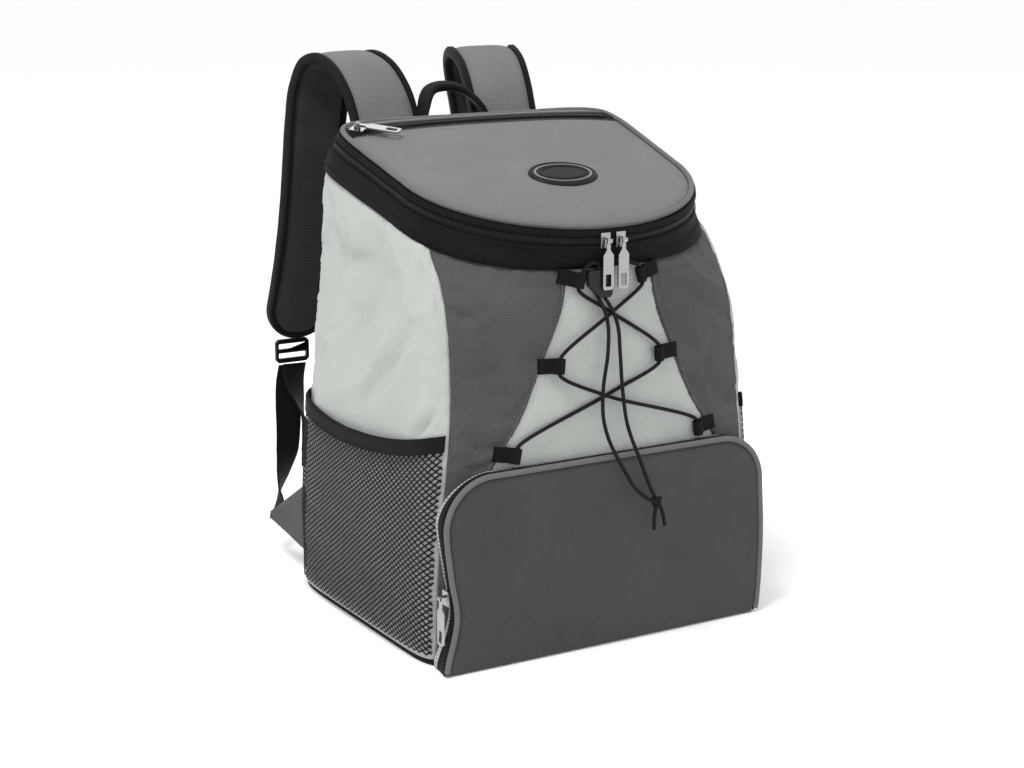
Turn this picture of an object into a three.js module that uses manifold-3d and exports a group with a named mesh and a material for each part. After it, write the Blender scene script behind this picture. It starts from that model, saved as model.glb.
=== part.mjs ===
// Cooler backpack: a hollow padded bag with a zipped lid, a front pocket, mesh side pockets,
// shock cord on the front and padded shoulder straps. Millimetres, +Z up, the front faces -Y.
// The origin is the centre of the bag's footprint, on the floor.
import * as THREE from "three";
import { mergeVertices } from "three/addons/utils/BufferGeometryUtils.js";
import Module from "manifold-3d";

const wasm = await Module();
wasm.setup();

// Bag
const baseWidth = 304;
const baseDepth = 262;
const rearHeight = 403;
const frontHeight = 337;
const backLean = 48;
const frontSwell = 9;
const lidLean = 4;
const wall = 6;
const backWall = 10;
const floorThickness = 5;
const bandHeight = 26;
const bandWall = 3;
const lidThickness = 7;
const lidDome = 10;
const pipingRadius = 2.2;
const seamGap = 0.3;

// Lid trim
const rearStripDepth = 17;
const lidZipWidth = 10;
const badgeLength = 61;
const badgeWidth = 40;
const badgeThickness = 3;
const badgeFromRear = 150;

// Front pocket
const pocketWidth = 302;
const pocketHeight = 158;
const pocketDepth = 18;
const pocketCorner = 42;
const pocketFaceThickness = 3;
const pocketCloth = 2;
const pocketZipWidth = 9.5;
const pocketRoot = 0.95;

// Mesh pockets
const meshThickness = 1.4;
const meshBulge = 9;
const meshBindingHeight = 11;
const meshBindingThickness = 2.4;

// Shoulder straps, handle and webbing
const strapWidth = 64;
const strapThickness = 9;
const strapBindingWidth = 5;
const strapBindingThickness = 10.5;
const strapReach = 150;
const strapRise = 53;
const webbingWidth = 25;
const webbingThickness = 1.8;
const tabThickness = 4;
const tabGap = 0.5;
const handleWidth = 14;
const handleThickness = 4;
const handleSpan = 66;

// Shock cord and its loops
const cordDiameter = 3;
const loopLength = 21;
const loopWidth = 12;
const loopCloth = 2.2;
const loopBore = 4.2;
const lockLength = 23;
const lockHeight = 22;
const lockThickness = 5.4;

// Zip sliders and pulls
const sliderLength = 12;
const sliderWidth = 8.5;
const sliderThickness = 2.2;
const bailRadius = 0.8;
const bailHeight = 6;
const bailSpan = 4.2;
const pullLength = 38;
const pullWidth = 9.5;
const pullThickness = 1.4;
const eyeClearance = 0.4;
const eyeWall = 1;

const rearY = (baseDepth + pocketDepth) / 2;
const frontY = rearY - baseDepth;

// Sections of the bag from the floor (up 0) to the foot of the lid band (1) and the lid's edge (2).
// side and flare are shares of half the base width, at the front half and added at the rear;
// run is the share of the base depth that the front curve takes, round its exponent;
// back and front are shares of backLean and frontSwell.
const sections = [
  { up: 0.0, side: 1.0, flare: 0.0, round: 10.0, run: 0.433, back: 0.0, front: 0.1 },
  { up: 0.25, side: 1.003, flare: 0.0, round: 10.0, run: 0.433, back: 0.16, front: 0.75 },
  { up: 0.5, side: 0.975, flare: 0.02, round: 8.5, run: 0.433, back: 0.4, front: 1.0 },
  { up: 0.75, side: 0.93, flare: 0.05, round: 7.0, run: 0.433, back: 0.68, front: 1.0 },
  { up: 0.88, side: 0.902, flare: 0.065, round: 5.2, run: 0.433, back: 0.81, front: 1.0 },
  { up: 0.96, side: 0.89, flare: 0.075, round: 3.2, run: 0.425, back: 0.88, front: 0.97 },
  { up: 1.0, side: 0.883, flare: 0.08, round: 2.3, run: 0.42, back: 0.92, front: 0.95 },
  { up: 1.5, side: 0.866, flare: 0.07, round: 2.08, run: 0.407, back: 0.97, front: 1.1 },
  { up: 2.0, side: 0.855, flare: 0.05, round: 2.0, run: 0.394, back: 1.0, front: 1.17 },
];
const rearRound = 9;

// Seam between side panel and front wing: distance behind the front face, as a share of the base depth
const sideSeam = [
  { up: 0.0, behind: 0.039 },
  { up: 0.6, behind: 0.0433 },
  { up: 0.8, behind: 0.074 },
  { up: 0.92, behind: 0.139 },
  { up: 1.0, behind: 0.251 },
];

// Seam between wing and centre panel: distance from the middle as a share of half the base width
const wingSeam = [
  { up: 0.0, out: 0.76 },
  { up: 0.42, out: 0.75 },
  { up: 0.495, out: 0.688 },
  { up: 0.62, out: 0.52 },
  { up: 0.762, out: 0.388 },
  { up: 0.88, out: 0.285 },
  { up: 1.0, out: 0.243 },
];

// Front pocket outline: half widths at shares of its height, as shares of half its width
const pocketSides = [
  { up: 0.0, left: 1.0, right: 0.97 },
  { up: 0.04, left: 1.0, right: 0.99 },
  { up: 0.29, left: 0.945, right: 1.005 },
  { up: 0.5, left: 0.975, right: 1.005 },
  { up: 0.72, left: 1.0, right: 0.99 },
  { up: 1.0, left: 1.0, right: 0.98 },
];

// Mesh pocket's upper edge from the rear seam (along 0) to the front seam (1), shares of rearHeight
const meshEdge = [
  { along: 0.0, up: 0.42 },
  { along: 0.28, up: 0.397 },
  { along: 0.55, up: 0.4 },
  { along: 0.8, up: 0.42 },
  { along: 1.0, up: 0.448 },
];

// Middle of a shoulder strap's pad: across as a share of half the base width, back of the rear
// panel's foot as a share of strapReach, up as a share of rearHeight plus strapRise; turn in
// degrees about the vertical
const strapRoute = [
  { across: 0.38, back: -0.235, up: 0.7655, turn: 0 },
  { across: 0.381, back: -0.155, up: 0.815, turn: 0 },
  { across: 0.384, back: -0.069, up: 0.876, turn: 2 },
  { across: 0.395, back: 0.013, up: 0.926, turn: 4 },
  { across: 0.421, back: 0.147, up: 0.9695, turn: 8 },
  { across: 0.454, back: 0.312, up: 0.986, turn: 12 },
  { across: 0.493, back: 0.425, up: 0.971, turn: 14 },
  { across: 0.533, back: 0.474, up: 0.927, turn: 14 },
  { across: 0.566, back: 0.472, up: 0.865, turn: 12 },
  { across: 0.605, back: 0.448, up: 0.758, turn: 8 },
  { across: 0.638, back: 0.442, up: 0.641, turn: 4 },
  { across: 0.664, back: 0.496, up: 0.529, turn: 0 },
  { across: 0.684, back: 0.59, up: 0.431, turn: 0 },
];

// Webbing from the buckle to the corner tab, same columns
const webbingRoute = [
  { across: 0.7, back: 0.617, up: 0.372, turn: 0 },
  { across: 0.704, back: 0.65, up: 0.335, turn: 0 },
  { across: 0.717, back: 0.638, up: 0.29, turn: 0 },
  { across: 0.737, back: 0.603, up: 0.245, turn: 5 },
  { across: 0.757, back: 0.585, up: 0.195, turn: 12 },
  { across: 0.79, back: 0.575, up: 0.15, turn: 35 },
  { across: 0.835, back: 0.545, up: 0.115, turn: 60 },
  { across: 0.885, back: 0.465, up: 0.092, turn: 80 },
];

// Loose end of the webbing, same columns
const tailRoute = [
  { across: 0.69, back: 0.59, up: 0.376, turn: 10 },
  { across: 0.695, back: 0.575, up: 0.34, turn: 30 },
  { across: 0.7, back: 0.52, up: 0.305, turn: 55 },
  { across: 0.717, back: 0.42, up: 0.262, turn: 75 },
  { across: 0.743, back: 0.32, up: 0.224, turn: 85 },
  { across: 0.76, back: 0.27, up: 0.2, turn: 88 },
];

// Loops for the cord: middle of the foot, distance out as a share of half the base width,
// height as a share of the front height, and the angle of the loop below level
const cordLoops = [
  { level: "top", out: 0.29, up: 0.9, slope: 15 },
  { level: "mid", out: 0.415, up: 0.697, slope: 4 },
  { level: "low", out: 0.672, up: 0.506, slope: 10 },
];

// Free ends of the cord from below the lock to the knot: across, towards the rear, height
const tailLeft = [
  [-11, -138.0, 281], [-8, -140.7, 272], [-6, -141.4, 260], [-6.2, -141.2, 239], [-10, -141.4, 214],
  [-9.7, -141.5, 189], [-5, -143.5, 170], [-0.8, -149.0, 157], [5, -153.5, 144], [10.9, -154.8, 134],
  [19, -154.8, 126], [27.4, -154.7, 120],
];
const tailRight = [
  [-5, -138.0, 281], [-1, -141.1, 272], [3, -141.5, 260], [5.5, -141.2, 238], [7.7, -141.4, 212],
  [12, -141.7, 184], [15.5, -144.0, 170], [19, -149.0, 156], [21.5, -153.0, 145], [24.2, -154.8, 136],
  [27.5, -154.8, 129], [30.6, -154.8, 123.5],
];
const knotPoint = [33, -154.8, 118.5];

// Lock's outline from the front: across and up as shares of half its length and height
const lockOutline = [
  [-0.9, 1], [-1, 0.75], [-0.85, -0.1], [-0.1, -0.92], [0.1, -1], [0.8, -1], [0.95, -0.8], [1, 0.75], [0.9, 1],
];

// Crossings of the lacing: across, height, and distances off the cloth of the lower and upper run
const crossings = { high: [0.4, 272, 2.4, 5.9], low: [-2.4, 205, 2.4, 5.9] };

const cloth = { roughness: 0.9, metalness: 0 };
const colours = {
  light: { ...cloth, color: 0xb9c1ba },
  dark: { ...cloth, color: 0x4d4f50 },
  lid: { ...cloth, color: 0x68696a },
  black: { ...cloth, color: 0x141414 },
  mesh: { ...cloth, color: 0x2c2d2d },
  rubber: { color: 0x1a1a1a, roughness: 0.6, metalness: 0 },
  plastic: { color: 0x1c1c1d, roughness: 0.45, metalness: 0 },
  steel: { color: 0xc9cbcd, roughness: 0.25, metalness: 1 },
};

const bag = new THREE.Group();

function add(name, geometry, colour, matrix) {
  const mesh = new THREE.Mesh(geometry, new THREE.MeshStandardMaterial(colours[colour]));
  mesh.name = name;
  if (matrix) mesh.applyMatrix4(matrix);
  bag.add(mesh);
  return mesh;
}

const vector = (x, y, z) => new THREE.Vector3(x, y, z);
const mix = (a, b, t) => a + (b - a) * t;

// Smooth curve through one column of a table, with the slope at each row taken from its neighbours
function along(table, key, column, at) {
  let k = 0;
  while (k < table.length - 2 && at > table[k + 1][key]) k += 1;
  const slope = (i) => {
    const a = table[Math.max(i - 1, 0)];
    const b = table[Math.min(i + 1, table.length - 1)];
    return (b[column] - a[column]) / (b[key] - a[key]);
  };
  const from = table[k];
  const to = table[k + 1];
  const span = to[key] - from[key];
  const t = THREE.MathUtils.clamp((at - from[key]) / span, 0, 1);
  const t2 = t * t;
  const t3 = t2 * t;
  return (2 * t3 - 3 * t2 + 1) * from[column] + (t3 - 2 * t2 + t) * span * slope(k)
    + (3 * t2 - 2 * t3) * to[column] + (t3 - t2) * span * slope(k + 1);
}

// One closed solid from vertices and triangles, turned so that its faces point out
function solid(vertices, triangles) {
  let volume = 0;
  for (const [a, b, c] of triangles) {
    volume += vertices[a].dot(vertices[b].clone().cross(vertices[c]));
  }
  const geometry = new THREE.BufferGeometry();
  geometry.setAttribute("position", new THREE.Float32BufferAttribute(vertices.flatMap((p) => [p.x, p.y, p.z]), 3));
  geometry.setIndex(triangles.flatMap(([a, b, c]) => (volume < 0 ? [a, c, b] : [a, b, c])));
  return geometry;
}

// Solid between two grids of points of the same size, closed along its four edges
function slab(outer, inner) {
  const rows = outer.length;
  const columns = outer[0].length;
  const vertices = [...outer.flat(), ...inner.flat()];
  const at = (side, i, j) => side * rows * columns + i * columns + j;
  const triangles = [];
  const quad = (a, b, c, d) => triangles.push([a, b, c], [a, c, d]);
  for (let i = 0; i < rows - 1; i += 1) {
    for (let j = 0; j < columns - 1; j += 1) {
      quad(at(0, i, j), at(0, i, j + 1), at(0, i + 1, j + 1), at(0, i + 1, j));
      quad(at(1, i, j), at(1, i + 1, j), at(1, i + 1, j + 1), at(1, i, j + 1));
    }
    quad(at(0, i, 0), at(0, i + 1, 0), at(1, i + 1, 0), at(1, i, 0));
    quad(at(0, i, columns - 1), at(1, i, columns - 1), at(1, i + 1, columns - 1), at(0, i + 1, columns - 1));
  }
  for (let j = 0; j < columns - 1; j += 1) {
    quad(at(0, 0, j), at(1, 0, j), at(1, 0, j + 1), at(0, 0, j + 1));
    quad(at(0, rows - 1, j), at(0, rows - 1, j + 1), at(1, rows - 1, j + 1), at(1, rows - 1, j));
  }
  return solid(vertices, triangles);
}

// Solid of one flat profile carried along frames { at, u, w }; closed joins the last to the first
function sweep(frames, profile, closed = false) {
  const sides = profile.length;
  const vertices = frames.flatMap(({ at, u, w }) => (
    profile.map(([a, b]) => at.clone().addScaledVector(u, a).addScaledVector(w, b))));
  const triangles = [];
  const steps = closed ? frames.length : frames.length - 1;
  for (let i = 0; i < steps; i += 1) {
    const here = i * sides;
    const next = ((i + 1) % frames.length) * sides;
    for (let j = 0; j < sides; j += 1) {
      const k = (j + 1) % sides;
      triangles.push([here + j, here + k, next + k], [here + j, next + k, next + j]);
    }
  }
  if (!closed) {
    const last = (frames.length - 1) * sides;
    for (let j = 1; j < sides - 1; j += 1) {
      triangles.push([0, j + 1, j], [last, last + j, last + j + 1]);
    }
  }
  return solid(vertices, triangles);
}

const rectangle = (width, height) => [
  [-width / 2, -height / 2], [width / 2, -height / 2], [width / 2, height / 2], [-width / 2, height / 2],
];
const ring = (radius, sides) => Array.from({ length: sides }, (_, i) => {
  const turn = (2 * Math.PI * i) / sides;
  return [radius * Math.cos(turn), radius * Math.sin(turn)];
});

// Manifold solids, for joining and cutting
function toManifold(geometry) {
  const bare = geometry.clone();
  bare.deleteAttribute("normal");
  bare.deleteAttribute("uv");
  const merged = mergeVertices(bare, 1e-4);
  return new wasm.Manifold(new wasm.Mesh({
    numProp: 3,
    vertProperties: new Float32Array(merged.attributes.position.array),
    triVerts: new Uint32Array(merged.index.array),
  }));
}

function fromManifold(manifold) {
  const { vertProperties, triVerts } = manifold.getMesh();
  const geometry = new THREE.BufferGeometry();
  geometry.setAttribute("position", new THREE.BufferAttribute(new Float32Array(vertProperties), 3));
  geometry.setIndex(new THREE.BufferAttribute(new Uint32Array(triVerts), 1));
  return geometry;
}

const join = (geometries) => fromManifold(geometries.map(toManifold).reduce((a, b) => a.add(b)));

// The bag's outline at one height share, as points from the front middle to the rear middle
const lidFrontY = frontY - sections.at(-1).front * frontSwell;
const lidRearY = rearY - backLean;
const outlines = new Map();

function lidPlane(y) {
  return mix(frontHeight, rearHeight, (y - lidFrontY) / (lidRearY - lidFrontY));
}

function heightAt(up, y) {
  const rim = lidPlane(y) - bandHeight;
  if (up > 1) return rim + bandHeight * (up - 1);
  return mix(floorThickness + seamGap, rim, up);
}

function outline(up) {
  if (outlines.has(up)) return outlines.get(up);
  const row = Object.fromEntries(["side", "flare", "round", "run", "back", "front"]
    .map((column) => [column, along(sections, "up", column, up)]));
  const back = rearY - row.back * backLean;
  const front = frontY - row.front * frontSwell;
  const start = front + row.run * baseDepth;
  const half = (row.side * baseWidth) / 2;
  const steps = 240;
  const points = [];
  for (let i = 0; i <= steps; i += 1) {
    const turn = (Math.PI * i) / steps;
    const s = Math.sin(turn);
    const c = Math.cos(turn);
    const power = 2 / (turn < Math.PI / 2 ? row.round : rearRound);
    const reach = Math.abs(c) ** power;
    const y = c > 0 ? start - (start - front) * reach : start + (back - start) * reach;
    const flare = (row.flare * baseWidth / 2) * Math.max(0, (y - start) / (back - start));
    points.push(vector((half + flare) * s ** power, y, 0));
  }
  points[0].x = 0;
  points[steps].x = 0;
  const lengths = [0];
  for (let i = 1; i <= steps; i += 1) lengths.push(lengths[i - 1] + points[i].distanceTo(points[i - 1]));
  const result = { points, lengths, total: lengths[steps], front, back };
  outlines.set(up, result);
  return result;
}

// Point of the bag's surface: share runs from 0 at the front middle to 1 (right) or -1 (left) at the rear
function surface(up, share) {
  const { points, lengths, total } = outline(up);
  const length = Math.min(Math.abs(share), 1) * total;
  let low = 0;
  let high = lengths.length - 1;
  while (high - low > 1) {
    const middle = (low + high) >> 1;
    if (lengths[middle] > length) high = middle;
    else low = middle;
  }
  const t = (length - lengths[low]) / (lengths[high] - lengths[low]);
  const p = points[low].clone().lerp(points[high], t);
  const lean = lidLean * (up / 2) ** 2;
  return vector(Math.sign(share || 1) * p.x + lean, p.y, heightAt(up, p.y));
}

// Level direction out of the surface
function normal(up, share) {
  if (Math.abs(share) >= 1) return vector(0, 1, 0);
  const small = 0.004;
  const near = surface(up, Math.min(share + small, 1)).sub(surface(up, Math.max(share - small, -1)));
  return vector(near.y, -near.x, 0).normalize();
}

// Share at which the right half of an outline first passes a test
function shareWhere(up, test) {
  const { points, lengths, total } = outline(up);
  const k = points.findIndex(test);
  const a = points[k - 1];
  return { k, a, b: points[k], at: (t) => mix(lengths[k - 1], lengths[k], t) / total };
}
function shareAtX(up, x) {
  const { a, b, at } = shareWhere(up, (p) => p.x >= Math.abs(x));
  return Math.sign(x || 1) * at((Math.abs(x) - a.x) / (b.x - a.x));
}
function shareBehind(up, distance) {
  const y = outline(up).front + distance;
  const { a, b, at } = shareWhere(up, (p) => p.y >= y);
  return at((y - a.y) / (b.y - a.y));
}

const offset = (up, share, out) => surface(up, share).addScaledVector(normal(up, share), out);
const upAtHeight = (share, z) => {
  const foot = surface(0, share).z;
  const rim = surface(1, share).z;
  return THREE.MathUtils.clamp((z - foot) / (rim - foot), 0, 1);
};

// Padded wall that follows the bag between two seams; low and high are height shares by place across
function panel({ low, high, from, to, rows, columns, thickness, outset = () => 0 }) {
  const gap = seamGap / 2;
  const outer = [];
  const inner = [];
  for (let i = 0; i <= rows; i += 1) {
    const outerRow = [];
    const innerRow = [];
    for (let j = 0; j <= columns; j += 1) {
      const k = j / columns;
      const up = mix(low(k), high(k), i / rows);
      const { total } = outline(up);
      const share = mix(from(up) + gap / total, to(up) - gap / total, k);
      const out = outset(k, i / rows);
      outerRow.push(offset(up, share, out));
      innerRow.push(offset(up, share, out - thickness));
    }
    outer.push(outerRow);
    inner.push(innerRow);
  }
  return slab(outer, inner);
}

const wallTop = 1 - (2 * seamGap) / frontHeight;
const rearSeam = (up) => shareWhere(up, (p) => p.y >= outline(up).back - 0.03 * baseDepth).at(0.5);
const frontSeam = (up) => shareBehind(up, along(sideSeam, "up", "behind", up) * baseDepth);
const centreSeam = (up) => shareAtX(up, (along(wingSeam, "up", "out", up) * baseWidth) / 2);
const mirrored = (edge) => (up) => -edge(up);

function buildWalls() {
  const upright = { low: () => 0, high: () => wallTop, rows: 11 };
  for (const side of ["left", "right"]) {
    const flip = (from, to) => (side === "right" ? { from, to } : { from: mirrored(to), to: mirrored(from) });
    add(`side_panel_${side}`, panel({ ...upright, ...flip(frontSeam, rearSeam), columns: 9, thickness: wall }), "light");
    add(`front_wing_${side}`, panel({ ...upright, ...flip(centreSeam, frontSeam), columns: 6, thickness: wall }), "dark");
  }
  const middle = { from: mirrored(centreSeam), to: centreSeam };
  add("front_centre_panel", panel({ ...upright, ...middle, columns: 6, thickness: wall }), "light");

  // The back panel goes round the rear middle, so its shares run past 1 and come back on the far side
  const outer = [];
  const inner = [];
  const columns = 8;
  for (let i = 0; i <= upright.rows; i += 1) {
    const up = (wallTop * i) / upright.rows;
    const seam = rearSeam(up) + seamGap / 2 / outline(up).total;
    const shares = Array.from({ length: columns + 1 }, (_, j) => {
      const across = Math.sin((Math.PI / 2) * (-1 + (2 * j) / columns));
      return Math.sign(across || 1) * mix(1, seam, Math.abs(across));
    });
    const crown = (j) => 3 * Math.sin((Math.PI * j) / columns) * Math.sin((Math.PI * i) / upright.rows);
    outer.push(shares.map((s, j) => offset(up, s, crown(j))));
    inner.push(shares.map((s, j) => offset(up, s, crown(j) - backWall)));
  }
  add("back_panel", slab(outer, inner), "dark");
}

// Flat shape of an outline, as a THREE.Shape in X and Y
function outlineShape(up, inset, columns) {
  const shape = new THREE.Shape();
  for (let j = 0; j < columns; j += 1) {
    const share = -1 + (2 * (j + 0.5)) / columns;
    const p = offset(up, share, -inset);
    if (j === 0) shape.moveTo(p.x, p.y);
    else shape.lineTo(p.x, p.y);
  }
  shape.closePath();
  return shape;
}

function buildFloor() {
  const settings = { depth: floorThickness, bevelEnabled: false };
  add("base_panel", new THREE.ExtrudeGeometry(outlineShape(0, 0, 56), settings), "dark");
}

// Bands that go all the way round, from one height share to another
function hoop(low, high, thickness, out, columns) {
  const outerFoot = [];
  for (let j = 0; j < columns; j += 1) {
    const share = -1 + (2 * (j + 0.5)) / columns;
    outerFoot.push([offset(low, share, out), offset(high, share, out), offset(high, share, out - thickness),
      offset(low, share, out - thickness)]);
  }
  const vertices = outerFoot.flat();
  const triangles = [];
  for (let j = 0; j < columns; j += 1) {
    const here = 4 * j;
    const next = 4 * ((j + 1) % columns);
    for (let k = 0; k < 4; k += 1) {
      const l = (k + 1) % 4;
      triangles.push([here + k, here + l, next + l], [here + k, next + l, next + k]);
    }
  }
  return solid(vertices, triangles);
}

const bandRows = { lowerTop: 1.52, zipTop: 1.8, lidEdge: 1.93 };
const hingeHalf = 0.17;

function buildLidBand() {
  const gap = (2 * seamGap) / bandHeight;
  add("lower_band", hoop(1.0, bandRows.lowerTop, bandWall, 0.6, 56), "black");
  add("upper_band", hoop(bandRows.zipTop, bandRows.lidEdge, bandWall, 0.6, 56), "black");
  const between = { low: () => bandRows.lowerTop + gap, high: () => bandRows.zipTop - gap, rows: 1 };
  const end = () => 1 - hingeHalf;
  add("lid_zip", panel({ ...between, from: mirrored(end), to: end, columns: 46, thickness: 2.4, outset: () => 0.3 }), "black");

  const hinge = { outer: [], inner: [] };
  for (let i = 0; i <= 1; i += 1) {
    const up = mix(bandRows.lowerTop + gap, bandRows.zipTop - gap, i);
    const shares = Array.from({ length: 9 }, (_, j) => {
      const across = -1 + j / 4;
      return Math.sign(across || 1) * (1 - (hingeHalf - seamGap / outline(up).total) * Math.abs(across));
    });
    hinge.outer.push(shares.map((s) => offset(up, s, 0.3)));
    hinge.inner.push(shares.map((s) => offset(up, s, -1.7)));
  }
  add("lid_hinge_cloth", slab(hinge.outer, hinge.inner), "black");
}

// Lid's outline moved in by inset: half width at a depth
function lidHalfWidth(y, inset = 0) {
  const line = lidOutline(inset);
  const k = THREE.MathUtils.clamp(line.findIndex((p) => p.y >= y), 1, line.length - 1);
  const t = THREE.MathUtils.clamp((y - line[k - 1].y) / (line[k].y - line[k - 1].y), 0, 1);
  return mix(line[k - 1].x, line[k].x, t) - lidLean;
}

const lidOutlines = new Map();
function lidOutline(inset) {
  if (!lidOutlines.has(inset)) {
    const steps = 120;
    const line = Array.from({ length: steps }, (_, i) => offset(2, Math.max(i / steps, 1e-4), -inset));
    lidOutlines.set(inset, line.filter((p, i) => i === 0 || p.y > line[i - 1].y + 1e-3));
  }
  return lidOutlines.get(inset);
}

// Height of the lid: lidDome above its plane in the middle and nothing at the edge
function lidTop(x, y) {
  const { front, back } = outline(2);
  const across = Math.min(Math.abs(x - lidLean) / Math.max(lidHalfWidth(y), 1), 1);
  const forward = Math.min(Math.abs((2 * (y - front)) / (back - front) - 1), 1);
  return lidPlane(y) + lidDome * (1 - across ** 2.6) * (1 - forward ** 3);
}

function lidPiece(startY, endY, rows, columns, top, thickness, bunched = false) {
  const upper = [];
  const lower = [];
  for (let i = 0; i <= rows; i += 1) {
    const y = mix(startY, endY, bunched ? (i / rows) ** 1.7 : i / rows);
    const half = lidHalfWidth(y, lidInset);
    const row = Array.from({ length: columns + 1 }, (_, j) => lidLean + half * (-1 + (2 * j) / columns));
    upper.push(row.map((x) => vector(x, y, lidTop(x, y) + top)));
    lower.push(row.map((x) => vector(x, y, lidTop(x, y) + top - thickness)));
  }
  return slab(upper, lower);
}

const lidInset = 2 * pipingRadius + seamGap;
const zipY = lidRearY - rearStripDepth;

function buildLid() {
  const rearLimit = lidRearY - lidInset - 0.9;
  const frontLimit = lidFrontY + lidInset + 0.2;
  add("lid_panel", lidPiece(frontLimit, zipY - lidZipWidth - seamGap, 11, 10, 0, lidThickness, true), "lid");
  add("lid_pocket_zip", lidPiece(zipY - lidZipWidth, zipY, 1, 10, -0.6, 3), "black");
  add("lid_rear_strip", lidPiece(zipY + seamGap, rearLimit, 2, 10, 0, lidThickness), "lid");

  const frames = [];
  const steps = 56;
  for (let j = 0; j < steps; j += 1) {
    const share = -1 + (2 * (j + 0.5)) / steps;
    const flat = normal(2, share);
    const at = surface(2, share).addScaledVector(flat, -pipingRadius);
    at.z = lidPlane(at.y) + pipingRadius * 0.6;
    frames.push({ at, u: flat, w: vector(0, 0, 1) });
  }
  add("lid_piping", sweep(frames, ring(pipingRadius, 6), true), "lid");

  // Raised oval badge, bent to the lid, with a low rim
  const centreY = lidRearY - badgeFromRear;
  const rings = 4;
  const turns = 24;
  const upper = [];
  const lower = [];
  for (let i = 0; i <= rings; i += 1) {
    const r = mix(0.12, 1, i / rings);
    const rim = i === rings - 1 || i === rings - 2 ? badgeThickness : badgeThickness * 0.72;
    const height = i === rings ? badgeThickness * 0.6 : rim;
    const circle = Array.from({ length: turns }, (_, j) => {
      const turn = (2 * Math.PI * j) / turns;
      return [lidLean + (r * badgeLength * Math.cos(turn)) / 2, centreY + (r * badgeWidth * Math.sin(turn)) / 2];
    });
    upper.push(circle.map(([x, y]) => vector(x, y, lidTop(x, y) + seamGap + height)));
    lower.push(circle.map(([x, y]) => vector(x, y, lidTop(x, y) + seamGap)));
  }
  add("lid_badge", disc(upper, lower), "rubber");
}

// Solid from rings of points that grow outwards on an upper and a lower face
function disc(upper, lower) {
  const turns = upper[0].length;
  const vertices = [...upper.flat(), ...lower.flat()];
  const middle = (rows) => rows[0].reduce((sum, p) => sum.add(p), vector(0, 0, 0)).divideScalar(turns);
  vertices.push(middle(upper), middle(lower));
  const [topCentre, lowCentre] = [vertices.length - 2, vertices.length - 1];
  const at = (side, i, j) => (side * upper.length + i) * turns + (j % turns);
  const triangles = [];
  const quad = (a, b, c, d) => triangles.push([a, b, c], [a, c, d]);
  for (let j = 0; j < turns; j += 1) {
    triangles.push([topCentre, at(0, 0, j), at(0, 0, j + 1)], [lowCentre, at(1, 0, j + 1), at(1, 0, j)]);
    for (let i = 0; i < upper.length - 1; i += 1) {
      quad(at(0, i, j), at(0, i + 1, j), at(0, i + 1, j + 1), at(0, i, j + 1));
      quad(at(1, i, j), at(1, i, j + 1), at(1, i + 1, j + 1), at(1, i + 1, j));
    }
    const last = upper.length - 1;
    quad(at(0, last, j), at(1, last, j), at(1, last, j + 1), at(0, last, j + 1));
  }
  return solid(vertices, triangles);
}

// Front pocket: half width at a height, with the round upper corners
function pocketHalf(side, z) {
  const straight = (along(pocketSides, "up", side, z / pocketHeight) * pocketWidth) / 2;
  const over = z - (pocketHeight - pocketCorner);
  if (over <= 0) return straight;
  return straight - pocketCorner + Math.sqrt(Math.max(pocketCorner ** 2 - over ** 2, 0));
}

// Pocket outline from the left foot over the top to the right foot, moved in by inset
function pocketOutline(inset, foot) {
  const straight = 7;
  const arc = 7;
  const low = pocketHeight - pocketCorner;
  const [left, right] = ["left", "right"].map((side) => {
    const line = [];
    for (let i = 0; i < straight; i += 1) {
      const z = mix(foot, low, i / straight);
      line.push([pocketHalf(side, z) - inset, z]);
    }
    const centre = pocketHalf(side, low) - pocketCorner;
    for (let i = 0; i <= arc; i += 1) {
      const turn = (Math.PI / 2) * (i / arc);
      const radius = pocketCorner - inset;
      line.push([centre + radius * Math.cos(turn), low + radius * Math.sin(turn)]);
    }
    return line;
  });
  const across = 6;
  const level = Array.from({ length: across - 1 }, (_, i) => (
    [mix(-left.at(-1)[0], right.at(-1)[0], (i + 1) / across), pocketHeight - inset]));
  return { left, right, all: [...left.map(([x, z]) => [-x, z]), ...level, ...right.toReversed()] };
}

// Half width of one side of an outline at a height
function halfAtHeight(line, z) {
  const k = Math.max(line.findIndex((p) => p[1] >= z), 1);
  const t = (z - line[k - 1][1]) / (line[k][1] - line[k - 1][1]);
  return mix(line[k - 1][0], line[k][0], THREE.MathUtils.clamp(t, 0, 1));
}

const pocketFaceY = frontY - pocketDepth;
const pocketCrown = 3;
function pocketY(x, z) {
  const across = (2 * x) / pocketWidth;
  const rise = z / pocketHeight;
  return pocketFaceY - pocketCrown * (1 - Math.min(Math.abs(across), 1) ** 4) * Math.sin(Math.PI * Math.min(rise, 1) ** 0.8);
}

// The bag's front surface at a place across and a height
function frontPoint(x, z, out) {
  let share = 0;
  let up = 0;
  for (let i = 0; i < 4; i += 1) {
    up = upAtHeight(share, z);
    const widest = Math.max(...outline(up).points.map((p) => p.x));
    const lean = lidLean * (up / 2) ** 2;
    share = shareAtX(up, THREE.MathUtils.clamp(x - lean, -0.985 * widest, 0.985 * widest));
  }
  const p = surface(up, share);
  return vector(x, p.y - out, z);
}

const pocketFoot = 1.2;

// Front edge of the strips behind the piping
const pocketStripY = (x, z) => pocketY(x, z) + 1.6 * pipingRadius + 1.5 * seamGap;

function pocketFrames(inset, foot) {
  const points = pocketOutline(inset, foot).all;
  return points.map(([x, z], i) => {
    const before = points[Math.max(i - 1, 0)];
    const after = points[Math.min(i + 1, points.length - 1)];
    const length = Math.hypot(after[0] - before[0], after[1] - before[1]);
    const outward = vector(-(after[1] - before[1]) / length, 0, (after[0] - before[0]) / length);
    return { at: vector(x, 0, z), u: outward, w: vector(0, -1, 0) };
  });
}

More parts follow.
